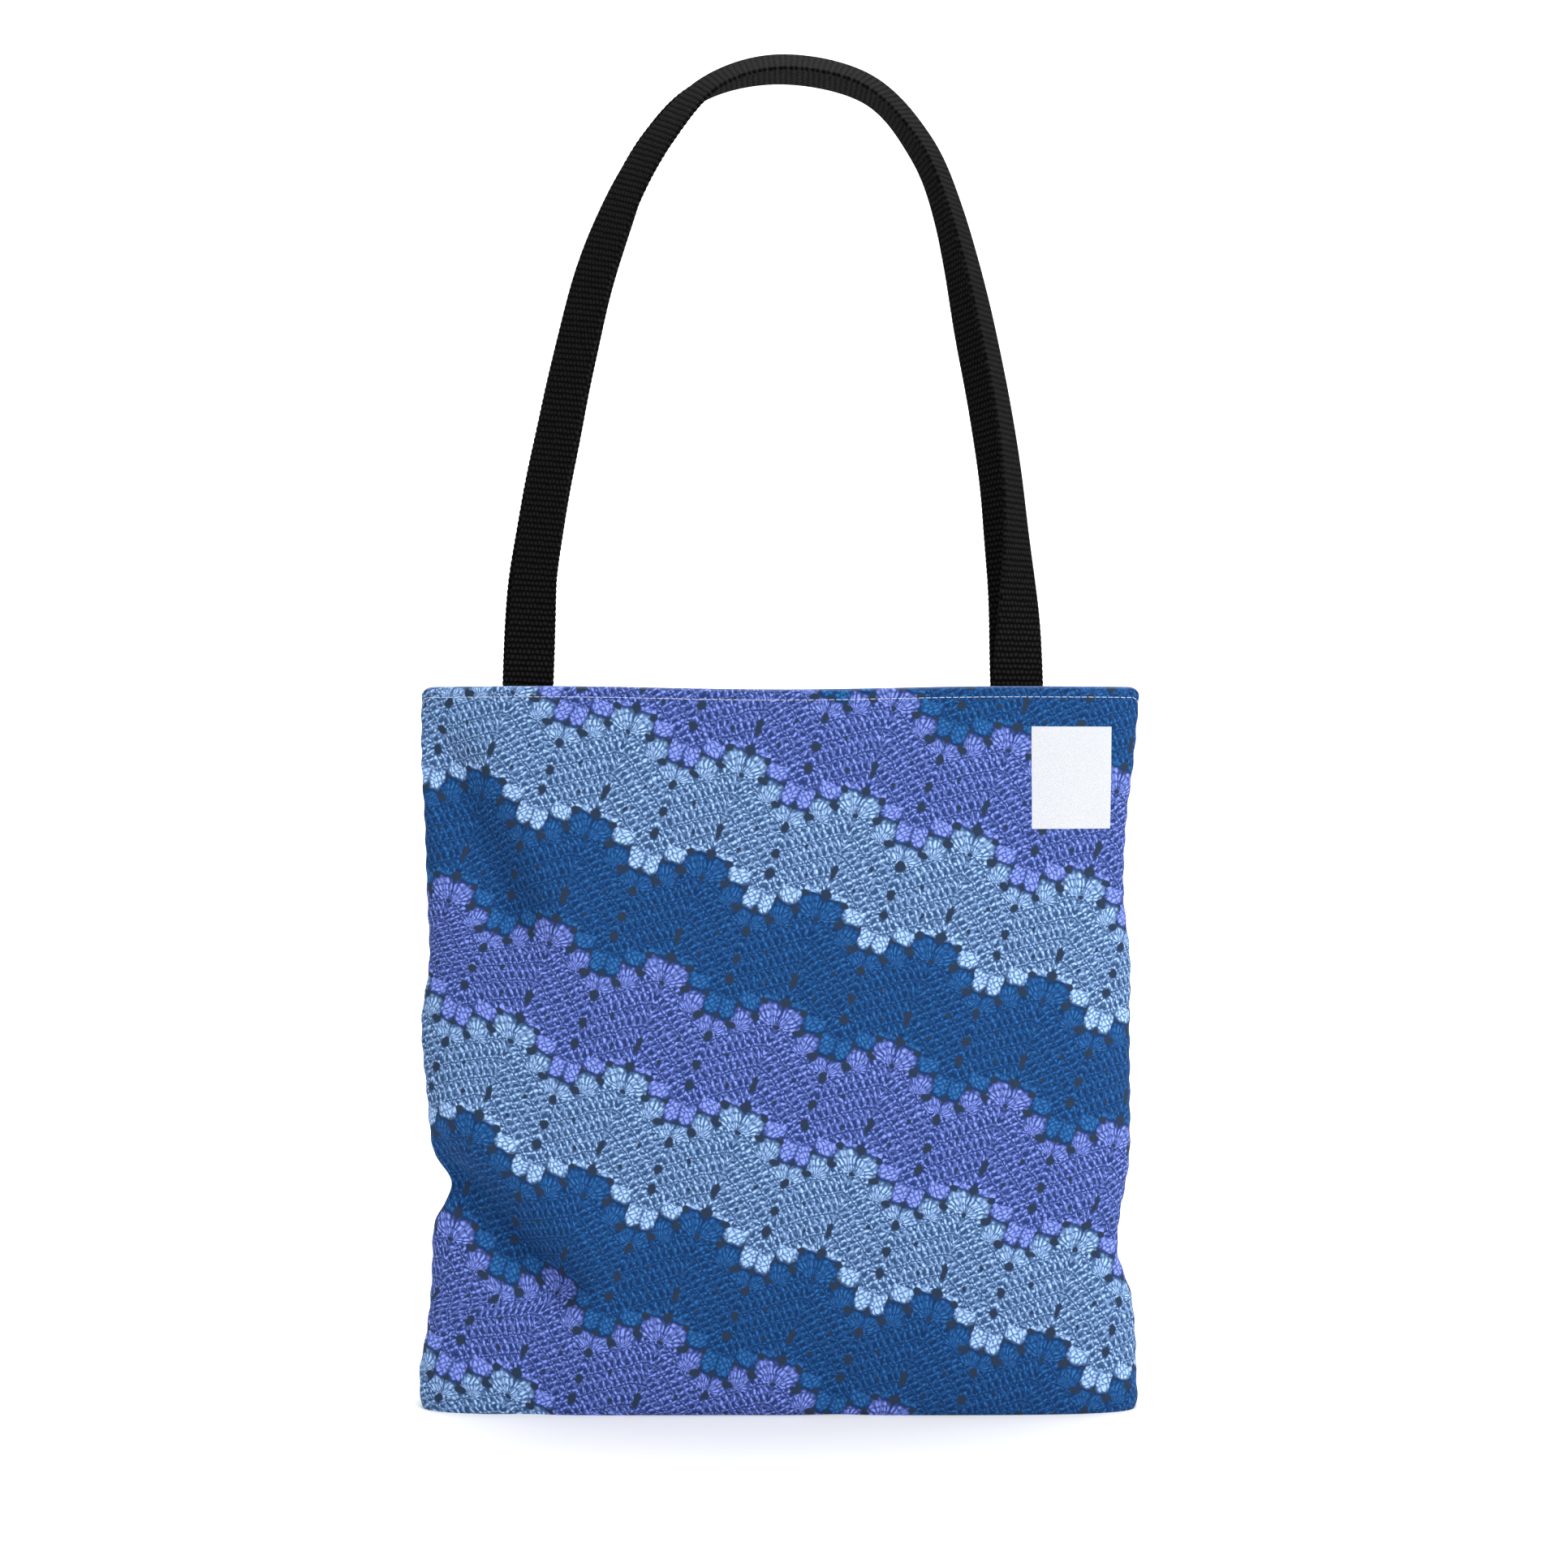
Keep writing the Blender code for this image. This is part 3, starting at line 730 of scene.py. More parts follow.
def crochet_print(tree, colours):
    """The printed crochet ripple's colour, worked out in millimetres on the flat cut."""
    cut = put(tree, "UVMap", uv_map=CUT_MAP)
    turn = math.radians(PRINT_TURN)
    x0, z0 = (PRINT_AT[0] + CUT_MIDDLE) * 1000, -(PRINT_AT[1] + CUT_FLOOR) * 1000
    moved = (-(x0 * math.cos(turn) + z0 * math.sin(turn)), x0 * math.sin(turn) - z0 * math.cos(turn), 0.0)
    laid = put(tree, "Mapping", cut, at={
        "Location": moved, "Rotation": (0, 0, -turn), "Scale": (1000.0, -1000.0, 1.0)})
    # hand-made unevenness: 0.5 mm over a stitch and 0.8 mm over a hand's width
    small = put(tree, "TexNoise", laid, noise_dimensions="2D", at={"Scale": 0.23, "Detail": 1.0})
    large = put(tree, "TexNoise", laid, noise_dimensions="2D", at={"Scale": 0.022, "Detail": 0.0})
    push = put(tree, "VectorMath", small.outputs["Color"], (1.9, 1.9, 0), (-0.95, -0.95, 0), operation="MULTIPLY_ADD")
    drift = put(tree, "VectorMath", large.outputs["Color"], (2.6, 2.6, 0), (-1.3, -1.3, 0), operation="MULTIPLY_ADD")
    hand = put(tree, "VectorMath", put(tree, "VectorMath", laid, push, operation="ADD"), drift, operation="ADD")
    parts = put(tree, "SeparateXYZ", hand)
    a, b = parts.outputs[0], parts.outputs[1]
    # across the ripple: distance to the nearest peak's line, and which third of the leg it is
    skewed = put(tree, "Math", put(tree, "Math", b, 0.011, a, operation="MULTIPLY_ADD"), FIRST_PEAK, operation="SUBTRACT")
    x = put(tree, "Math", skewed, RIPPLE / 2, -RIPPLE / 2, operation="WRAP")
    ax = put(tree, "Math", x, operation="ABSOLUTE")
    flank = put(tree, "Math", ax, CELL_ENDS[0], operation="GREATER_THAN")
    valley = put(tree, "Math", ax, CELL_ENDS[1], operation="GREATER_THAN")
    cell = put(tree, "Math", flank, valley, operation="ADD")
    # down the ripple: the stripe's number and the depth below its stepped top edge
    y = put(tree, "Math", b, SHELL_TOP, operation="ADD")
    stepped = put(tree, "Math", cell, -SHELL_STEP, y, operation="MULTIPLY_ADD")
    g = put(tree, "Math", stepped, STRIPE, 0.0, operation="WRAP")
    start = put(tree, "Math", stepped, g, operation="SUBTRACT")
    number = put(tree, "Math", put(tree, "Math", start, STRIPE, operation="DIVIDE"), operation="ROUND")
    kind = put(tree, "Math", number, 3.0, operation="FLOORED_MODULO")
    # shells along the stripe's top: one round group of loops in each third of a leg
    centre = put(tree, "Math", valley, 8.5, put(tree, "Math", flank, 10.3, 4.95, operation="MULTIPLY_ADD"), operation="MULTIPLY_ADD")
    wide = put(tree, "Math", valley, -1.55, put(tree, "Math", flank, 0.1, 5.5, operation="MULTIPLY_ADD"), operation="MULTIPLY_ADD")
    tall = put(tree, "Math", valley, -1.3, put(tree, "Math", flank, -0.25, 5.3, operation="MULTIPLY_ADD"), operation="MULTIPLY_ADD")
    across = put(tree, "Math", put(tree, "Math", ax, centre, operation="SUBTRACT"), wide, operation="DIVIDE")
    above = put(tree, "Math", put(tree, "Math", tall, g, operation="SUBTRACT"), tall, operation="DIVIDE")
    across_4 = put(tree, "Math", put(tree, "Math", across, operation="ABSOLUTE"), 2.6, operation="POWER")
    above_4 = put(tree, "Math", put(tree, "Math", above, 0.0, operation="MAXIMUM"), 2.6, operation="POWER")
    round_off = put(tree, "Math", put(tree, "Math", across_4, above_4, operation="ADD"), 1 / 2.6, operation="POWER")
    shell_high = put(tree, "Math", tall, 2.0, operation="MULTIPLY")
    in_shell = put(tree, "Math", g, shell_high, operation="LESS_THAN")
    past_shell = put(tree, "MapRange", round_off, 0.95, 1.06, interpolation_type="SMOOTHSTEP")
    in_cap = put(tree, "Math", g, tall, operation="LESS_THAN")
    shell_gap = put(tree, "Math", in_cap, past_shell, operation="MULTIPLY")
    shell_edge = put(tree, "MapRange", round_off, 0.62, 1.0, 1.0, 0.36, interpolation_type="SMOOTHSTEP")
    # bobbles that end each stripe: two over the valley and a low one under each flank
    left_over = put(tree, "Math", STRIPE, g, operation="SUBTRACT")
    bob_middle = put(tree, "Math", valley, 8.5, 15.25, operation="MULTIPLY_ADD")
    bob_wide = put(tree, "Math", valley, -1.6, 5.4, operation="MULTIPLY_ADD")
    bob_tall = put(tree, "Math", valley, 1.0, 3.9, operation="MULTIPLY_ADD")
    bob_x = put(tree, "Math", put(tree, "Math", ax, bob_middle, operation="SUBTRACT"), bob_wide, operation="DIVIDE")
    bob_y = put(tree, "Math", put(tree, "Math", bob_tall, left_over, operation="SUBTRACT"), bob_tall, operation="DIVIDE")
    bob_low = put(tree, "Math", bob_y, 0.0, operation="MAXIMUM")
    bob_round = put(tree, "VectorMath", put(tree, "CombineXYZ", bob_x, bob_low), operation="LENGTH")
    bob_high = put(tree, "Math", bob_tall, 1.85, operation="MULTIPLY")
    near_end = put(tree, "Math", left_over, bob_high, operation="LESS_THAN")
    in_bobble = put(tree, "Math", flank, near_end, operation="MULTIPLY")
    past_bobble = put(tree, "MapRange", bob_round, 0.96, 1.09, interpolation_type="SMOOTHSTEP")
    low_half = put(tree, "Math", left_over, bob_tall, operation="LESS_THAN")
    bobble_gap = put(tree, "Math", put(tree, "Math", in_bobble, low_half, operation="MULTIPLY"), past_bobble, operation="MULTIPLY")
    bobble_edge = put(tree, "MapRange", bob_round, 0.62, 1.0, 1.0, 0.34, interpolation_type="SMOOTHSTEP")
    # holes left between the stitches, the same in every ripple
    where = put(tree, "CombineXYZ", ax, y)
    hole = None
    for one in HOLES:
        off = put(tree, "VectorMath", where, (one.x, one.y, 0), operation="SUBTRACT")
        off = put(tree, "VectorMath", off, (100, STRIPE / 2, 1), (-100, -STRIPE / 2, -1), operation="WRAP")
        off = put(tree, "VectorMath", off, (1 / one.half_width, 1 / one.half_height, 0), operation="MULTIPLY")
        away = put(tree, "VectorMath", off, operation="LENGTH")
        hole = away if hole is None else put(tree, "Math", hole, away, operation="MINIMUM")
    hole_open = put(tree, "MapRange", hole, 0.80, 1.15, 1.0, 0.0, interpolation_type="SMOOTHSTEP")
    gap = put(tree, "Math", put(tree, "Math", shell_gap, bobble_gap, operation="MAXIMUM"), hole_open, operation="MAXIMUM")
    # rows of double crochet along the legs, rounded over the peaks, stitches upright on them
    rounded = put(tree, "Math", put(tree, "Math", ax, ax, 9.0, operation="MULTIPLY_ADD"), operation="SQRT")
    depth = put(tree, "Math", rounded, -LEG_FALL, put(tree, "Math", y, start, operation="SUBTRACT"), operation="MULTIPLY_ADD")
    rows = put(tree, "Math", put(tree, "Math", depth, 2.1, operation="ADD"), ROW, operation="DIVIDE")
    row = put(tree, "Math", rows, operation="FLOOR")
    f = put(tree, "Math", rows, operation="FRACT")
    leg = math.radians(LEG_DEGREES)
    s = put(tree, "Math", depth, math.sin(leg), put(tree, "Math", ax, 1 / math.cos(leg), operation="MULTIPLY"), operation="MULTIPLY_ADD")
    stitch = put(tree, "Math", row, 0.5, put(tree, "Math", s, STITCH, operation="DIVIDE"), operation="MULTIPLY_ADD")
    beside = put(tree, "Math", stitch, 0.5, operation="PINGPONG")
    between = put(tree, "MapRange", beside, 0.20, 0.36, interpolation_type="SMOOTHSTEP")
    low_part = put(tree, "MapRange", f, 0.46, 0.58, interpolation_type="SMOOTHSTEP")
    high_part = put(tree, "MapRange", f, 0.82, 0.94, 1.0, 0.0, interpolation_type="SMOOTHSTEP")
    window = put(tree, "Math", low_part, high_part, operation="MULTIPLY")
    # under the heads, shorter dashes lie half a stitch over and lean
    leaning = put(tree, "Math", f, 1.1, put(tree, "Math", stitch, 0.5, operation="ADD"), operation="MULTIPLY_ADD")
    between_heads = put(tree, "MapRange", put(tree, "Math", leaning, 0.5, operation="PINGPONG"), 0.22, 0.38, interpolation_type="SMOOTHSTEP")
    low_head = put(tree, "MapRange", f, 0.06, 0.16, interpolation_type="SMOOTHSTEP")
    high_head = put(tree, "MapRange", f, 0.30, 0.42, 1.0, 0.0, interpolation_type="SMOOTHSTEP")
    head_window = put(tree, "Math", low_head, high_head, operation="MULTIPLY")
    own = put(tree, "CombineXYZ", put(tree, "Math", stitch, operation="ROUND"), row)
    luck = put(tree, "TexWhiteNoise", own, noise_dimensions="2D")
    post_dark = put(tree, "Math", put(tree, "Math", between, window, operation="MULTIPLY"), put(tree, "Math", luck, 0.30, 0.72, operation="MULTIPLY_ADD"), operation="MULTIPLY")
    head_dark = put(tree, "Math", put(tree, "Math", between_heads, head_window, operation="MULTIPLY"), put(tree, "Math", luck, -0.30, 0.95, operation="MULTIPLY_ADD"), operation="MULTIPLY")
    posts = put(tree, "Math", 1.0, put(tree, "Math", post_dark, head_dark, operation="MAXIMUM"), operation="SUBTRACT")
    slant = put(tree, "Math", f, 0.8, put(tree, "Math", stitch, 2.0, operation="MULTIPLY"), operation="MULTIPLY_ADD")
    plies = put(tree, "Math", put(tree, "Math", slant, 0.5, operation="PINGPONG"), 2.0, operation="MULTIPLY")
    line = put(tree, "MapRange", put(tree, "Math", rows, 0.5, operation="PINGPONG"), 0.0, 0.080, interpolation_type="SMOOTHSTEP")
    # yarn plies: grains 2.0 mm wide and 3.3 mm long, upright in the rows and fanned out in a shell
    fan_x = put(tree, "Math", valley, 12.15, put(tree, "Math", flank, 15.2, operation="MULTIPLY"), operation="MULTIPLY_ADD")
    rise = put(tree, "Math", put(tree, "Math", shell_high, g, operation="SUBTRACT"), 1.0, operation="ADD")
    sideways = put(tree, "Math", ax, fan_x, operation="SUBTRACT")
    angle = put(tree, "Math", sideways, rise, operation="ARCTAN2")
    reach = put(tree, "VectorMath", put(tree, "CombineXYZ", sideways, rise), operation="LENGTH")
    fan = put(tree, "CombineXYZ", put(tree, "Math", angle, 3.6, operation="MULTIPLY"), put(tree, "Math", reach, 0.30, operation="MULTIPLY"))
    upright = put(tree, "CombineXYZ", put(tree, "Math", s, 0.50, operation="MULTIPLY"), put(tree, "Math", depth, 0.30, operation="MULTIPLY"))
    flow = put(tree, "Mix", in_shell, upright, fan, data_type="VECTOR")
    grains = put(tree, "TexVoronoi", flow, voronoi_dimensions="2D", feature="DISTANCE_TO_EDGE", at={"Scale": 1.0, "Randomness": 0.8})
    grain = put(tree, "MapRange", grains, 0.02, 0.30, interpolation_type="SMOOTHSTEP")
    ridges = put(tree, "Math", put(tree, "Math", put(tree, "Math", angle, 4.4, operation="MULTIPLY"), 0.5, operation="PINGPONG"), 2.0, operation="MULTIPLY")
    # how light each point of yarn is, from 0 in a groove to 1 on top of a loop
    shaft = put(tree, "Math", posts, put(tree, "Math", plies, 0.55, 0.45, operation="MULTIPLY_ADD"), operation="MULTIPLY")
    line_dark = put(tree, "Math", line, 0.75, 0.25, operation="MULTIPLY_ADD")
    shaft = put(tree, "Math", shaft, line_dark, operation="MULTIPLY")
    # a chain closes the stripe's lower edge
    chain = put(tree, "Math", left_over, 2.4, operation="LESS_THAN")
    shaft = put(tree, "Mix", chain, shaft, put(tree, "Math", plies, 0.25, 0.75, operation="MULTIPLY_ADD"), data_type="FLOAT")
    cluster = put(tree, "Math", put(tree, "Math", ridges, 0.60, 0.45, operation="MULTIPLY_ADD"), shell_edge, operation="MULTIPLY")
    ball = put(tree, "Math", put(tree, "Math", plies, 0.35, 0.75, operation="MULTIPLY_ADD"), bobble_edge, operation="MULTIPLY")
    body = put(tree, "Mix", in_bobble, shaft, ball, data_type="FLOAT")
    form = put(tree, "Mix", in_shell, body, cluster, data_type="FLOAT")
    fuzz = put(tree, "TexNoise", laid, noise_dimensions="2D", at={"Scale": 1.1, "Detail": 2.0, "Roughness": 0.6})
    light = put(tree, "Math", form, put(tree, "Math", grain, 0.50, 0.48, operation="MULTIPLY_ADD"), operation="MULTIPLY")
    light = put(tree, "Math", put(tree, "Math", fuzz, 0.5, operation="SUBTRACT"), 0.50, light, operation="MULTIPLY_ADD")
    edge_top = put(tree, "MapRange", g, 0.0, 1.3, 0.35, 1.0, interpolation_type="SMOOTHSTEP")
    edge_low = put(tree, "MapRange", left_over, 0.0, 1.0, 0.30, 1.0, interpolation_type="SMOOTHSTEP")
    light = put(tree, "Math", put(tree, "Math", light, edge_top, operation="MULTIPLY"), edge_low, operation="MULTIPLY")
    # each yarn from its grooves to the tops of its loops
    shares = ((0.06, 0.07, 1.40), (0.26, 0.15, 0.80), (0.48, 0.38, 0.26), (0.70, 0.82, 0.06), (0.94, 1.22, 0.03))
    violet = put(tree, "ValToRGB", light, stops=tones(colours.violet, shares))
    pale = put(tree, "ValToRGB", light, stops=tones(colours.pale, shares))
    shares = ((0.06, 0.24, 0.45), (0.28, 0.40, 0.25), (0.54, 0.74, 0.06), (0.80, 1.25, -0.10), (1.0, 2.0, -0.26))
    deep = put(tree, "ValToRGB", light, stops=tones(colours.deep, shares))
    is_pale = put(tree, "Math", kind, 1.0, 0.5, operation="COMPARE")
    is_deep = put(tree, "Math", kind, 2.0, 0.5, operation="COMPARE")
    yarn = put(tree, "Mix", is_pale, violet, pale, data_type="RGBA")
    yarn = put(tree, "Mix", is_deep, yarn, deep, data_type="RGBA")
    return put(tree, "Mix", gap, yarn, (*colours.gap, 1.0), data_type="RGBA"), cut


def printed_cloth(name, colours, with_patch):
    """Polyester canvas, heat printed on its outer side: smooth and matt, the yarn is only ink.

    A soft sheen at grazing angles, a fine plain weave and a dent along the sewn line are all the
    relief it has.
    """
    material, tree, shader = new_material(name)
    colour, cut = crochet_print(tree, colours)
    flat = put(tree, "SeparateXYZ", cut)
    if with_patch:
        left, right, bottom, top = PATCH
        in_x = put(tree, "Math", flat.outputs[0], (left + right) / 2 + CUT_MIDDLE, (right - left) / 2, operation="COMPARE")
        in_z = put(tree, "Math", flat.outputs[1], (bottom + top) / 2 + CUT_FLOOR, (top - bottom) / 2, operation="COMPARE")
        patch = put(tree, "Math", in_x, in_z, operation="MULTIPLY")
        colour = put(tree, "Mix", patch, colour, (*colours.patch, 1.0), data_type="RGBA")
    sewn = put(tree, "SeparateXYZ", put(tree, "Attribute", attribute_name=SEWN).outputs["Vector"])
    # the print mixed a little paler within 1.6 mm of the rim's fold
    paler_rim = put(tree, "MapRange", sewn.outputs[1], 0.0, 0.0016, 0.16, 0.0, interpolation_type="SMOOTHSTEP")
    with_paler_rim = put(tree, "Mix", paler_rim, colour, (*shade_of("#B9C6E4"), 1.0), data_type="RGBA")
    # weave drawn at 0.9 mm, twice as coarse as the real canvas, so that it shows at all
    warp = put(tree, "Math", put(tree, "Math", flat.outputs[0], 2 * math.pi / 0.0009, operation="MULTIPLY"), operation="SINE")
    weft = put(tree, "Math", put(tree, "Math", flat.outputs[1], 2 * math.pi / 0.0009, operation="MULTIPLY"), operation="SINE")
    weave = put(tree, "Math", warp, weft, operation="MULTIPLY")
    # the sewn line pulls the cloth in by a quarter of a millimetre, 5 mm below the rim
    from_line = put(tree, "Math", put(tree, "Math", sewn.outputs[1], HEM_LINE, operation="SUBTRACT"), operation="ABSOLUTE")
    dent = put(tree, "MapRange", from_line, 0.0, 0.0016, -1.0, 0.0, interpolation_type="SMOOTHSTEP")
    relief = put(tree, "Math", weave, 0.16, dent, operation="MULTIPLY_ADD")
    bump = put(tree, "Bump", at={"Strength": 1.0, "Distance": 0.00025, "Height": relief})
    put_in = {"Base Color": with_paler_rim, "Roughness": 0.8, "Specular IOR Level": 0.10, "Sheen Weight": 0.02,
              "Sheen Roughness": 0.5, "Normal": bump}
    for socket, value in put_in.items():
        if isinstance(value, bpy.types.Node):
            tree.links.new(next(o for o in value.outputs if o.enabled), shader.inputs[socket])
        else:
            shader.inputs[socket].default_value = value
    return material


def unprinted_cloth(name, colours):
    """The canvas's unprinted back: plain white polyester with the weave just showing."""
    material, tree, shader = new_material(name)
    cut = put(tree, "UVMap", uv_map=CUT_MAP)
    cloudy = put(tree, "TexNoise", cut, noise_dimensions="2D", at={"Scale": 22.0, "Detail": 2.0})
    ghost = put(tree, "ValToRGB", cloudy, stops=[(0.35, shade_of("#DDE3F0")), (0.65, tuple(colours.patch))])
    tree.links.new(ghost.outputs[0], shader.inputs["Base Color"])
    fine = put(tree, "TexNoise", cut, noise_dimensions="2D", at={"Scale": 1100.0, "Detail": 1.0})
    bump = put(tree, "Bump", at={"Strength": 0.6, "Distance": 0.0001, "Height": fine})
    tree.links.new(bump.outputs[0], shader.inputs["Normal"])
    shader.inputs["Roughness"].default_value = 0.8
    shader.inputs["Specular IOR Level"].default_value = 0.3
    return material


def cotton_webbing(name, colours, strap):
    """Black cotton webbing, woven in heavy cross ribs: matt, with painted highlights on its small knots and painted
    shade in the grooves between them.
    """
    material, tree, shader = new_material(name)
    cut = put(tree, "UVMap", uv_map=CUT_MAP)
    uneven = put(tree, "TexNoise", cut, noise_dimensions="2D", at={"Scale": 330.0, "Detail": 1.0})
    push = put(tree, "VectorMath", uneven.outputs["Color"], (0.0009, 0.0009, 0), (-0.00045, -0.00045, 0), operation="MULTIPLY_ADD")
    flat = put(tree, "SeparateXYZ", put(tree, "VectorMath", cut, push, operation="ADD"))
    ribs = put(tree, "Math", flat.outputs[1], strap.rib, operation="DIVIDE")
    knots = put(tree, "Math", flat.outputs[0], 0.0022, operation="DIVIDE")
    # every second rib is half a knot over, as in a plain weave
    shifted = put(tree, "Math", put(tree, "Math", ribs, operation="FLOOR"), 0.5, knots, operation="MULTIPLY_ADD")
    across = put(tree, "Math", put(tree, "Math", shifted, 0.5, operation="PINGPONG"), 2.0, operation="MULTIPLY")
    along = put(tree, "Math", put(tree, "Math", ribs, 0.5, operation="PINGPONG"), 2.0, operation="MULTIPLY")
    soft_along = put(tree, "MapRange", along, 0.0, 0.75, interpolation_type="SMOOTHSTEP")
    soft_across = put(tree, "MapRange", across, 0.0, 0.8, 0.35, 1.0, interpolation_type="SMOOTHSTEP")
    knot = put(tree, "Math", soft_along, soft_across, operation="MULTIPLY")
    lint = put(tree, "TexNoise", cut, noise_dimensions="2D", at={"Scale": 900.0, "Detail": 3.0, "Roughness": 0.7})
    height = put(tree, "Math", lint, 0.35, knot, operation="MULTIPLY_ADD")
    base = tuple(colours.webbing)
    # painted shade and highlight: the colour goes from 0.12 of the webbing's own in the grooves to 3.6 times it on the
    # knots' tops, over the same relief that the bump gives
    colour = put(tree, "ValToRGB", height, stops=[
        (0.15, tuple(c * 0.12 for c in base)), (0.6, tuple(c * 0.60 for c in base)), (1.0, tuple(c * 3.6 for c in base))])
    tree.links.new(colour.outputs[0], shader.inputs["Base Color"])
    bump = put(tree, "Bump", at={"Strength": 1.0, "Distance": 0.0005, "Height": height})
    tree.links.new(bump.outputs[0], shader.inputs["Normal"])
    shader.inputs["Roughness"].default_value = 0.85
    shader.inputs["Specular IOR Level"].default_value = 0.05
    return material


def spun_thread(name, colour):
    """Twisted polyester sewing thread: a slight gloss, broken by the twist of its plies."""
    material, tree, shader = new_material(name)
    place = put(tree, "TexCoord")
    twist = put(tree, "TexNoise", place.outputs["Object"], at={"Scale": 2600.0, "Detail": 1.0})
    tone = put(tree, "ValToRGB", twist, stops=[(0.3, tuple(c * 0.6 for c in colour)), (0.7, tuple(colour))])
    tree.links.new(tone.outputs[0], shader.inputs["Base Color"])
    bump = put(tree, "Bump", at={"Strength": 0.5, "Distance": 0.00008, "Height": twist})
    tree.links.new(bump.outputs[0], shader.inputs["Normal"])
    shader.inputs["Roughness"].default_value = 0.5
    shader.inputs["Sheen Weight"].default_value = 0.1
    return material


def studio_paper(name):
    """Matt white background paper, seamless from the floor up the wall."""
    material, tree, shader = new_material(name)
    place = put(tree, "TexCoord")
    grain = put(tree, "TexNoise", place.outputs["Object"], at={"Scale": 6.0, "Detail": 2.0})
    tone = put(tree, "ValToRGB", grain, stops=[(0.3, shade_of("#F6F6F6")), (0.7, shade_of("#F8F8F8"))])
    tree.links.new(tone.outputs[0], shader.inputs["Base Color"])
    shader.inputs["Roughness"].default_value = 0.9
    return material


# ---- the operators, one for each piece or group of like pieces ----


class TOTE_OT_bag(bpy.types.Operator):
    """Builds the front and the back panel of printed cloth, each with its turned-in hem"""

    bl_idname = "tote.bag"
    bl_label = "Cloth panels"

    def execute(self, context):
        scene = context.scene
        bag, strap, colours = scene.tote_bag, scene.tote_strap, scene.tote_colours
        inside = unprinted_cloth("canvas_unprinted_back", colours)
        for side, name, node, with_patch in (
            (FRONT, "front_cloth_panel", "front_panel", True), (BACK, "back_cloth_panel", "back_panel", False)):
            outside = printed_cloth(f"canvas_heat_printed_{name[:5].rstrip('_')}", colours, with_patch)
            panel = bag_panel(name, side, bag, strap, outside, inside)
            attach(panel, "root")
            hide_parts(node)
        return {"FINISHED"}


class TOTE_OT_hem_stitches(bpy.types.Operator):
    """Sews the line of stitches that holds the hem, on both panels"""

    bl_idname = "tote.hem_stitches"
    bl_label = "Hem stitches"

    def execute(self, context):
        scene = context.scene
        thread = spun_thread("polyester_thread_white", scene.tote_colours.thread)
        for side, name, slot in ((FRONT, "front_hem_stitches", "front_cloth"), (BACK, "back_hem_stitches", "back_cloth")):
            row = laid_stitches(name, hem_places(scene.tote_bag, scene.tote_strap, side), thread)
            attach(row, "root")
        return {"FINISHED"}


class TOTE_OT_straps(bpy.types.Operator):
    """Builds the two straps of ribbed webbing"""

    bl_idname = "tote.straps"
    bl_label = "Webbing straps"

    def execute(self, context):
        scene = context.scene
        webbing = cotton_webbing("cotton_webbing_black", scene.tote_colours, scene.tote_strap)
        for side, name, node, slot in (
            (FRONT, "front_webbing_strap", "front_strap", "front_webbing"),
            (BACK, "back_webbing_strap", "back_strap", "back_webbing")):
            strap = webbing_strap(name, side, scene.tote_bag, scene.tote_strap, webbing)
            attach(strap, "root")
            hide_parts(node)
        return {"FINISHED"}


class TOTE_OT_strap_stitches(bpy.types.Operator):
    """Sews a box with a cross at each end of both straps"""

    bl_idname = "tote.strap_stitches"
    bl_label = "Strap end stitches"

    def execute(self, context):
        scene = context.scene
        thread = spun_thread("polyester_thread_black", tuple(c * 1.6 for c in scene.tote_colours.webbing))
        for side, name, slot in ((FRONT, "front_strap_stitches", "front_webbing"), (BACK, "back_strap_stitches", "back_webbing")):
            row = laid_stitches(name, strap_end_places(scene.tote_bag, scene.tote_strap, side), thread)
            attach(row, "root")
        return {"FINISHED"}


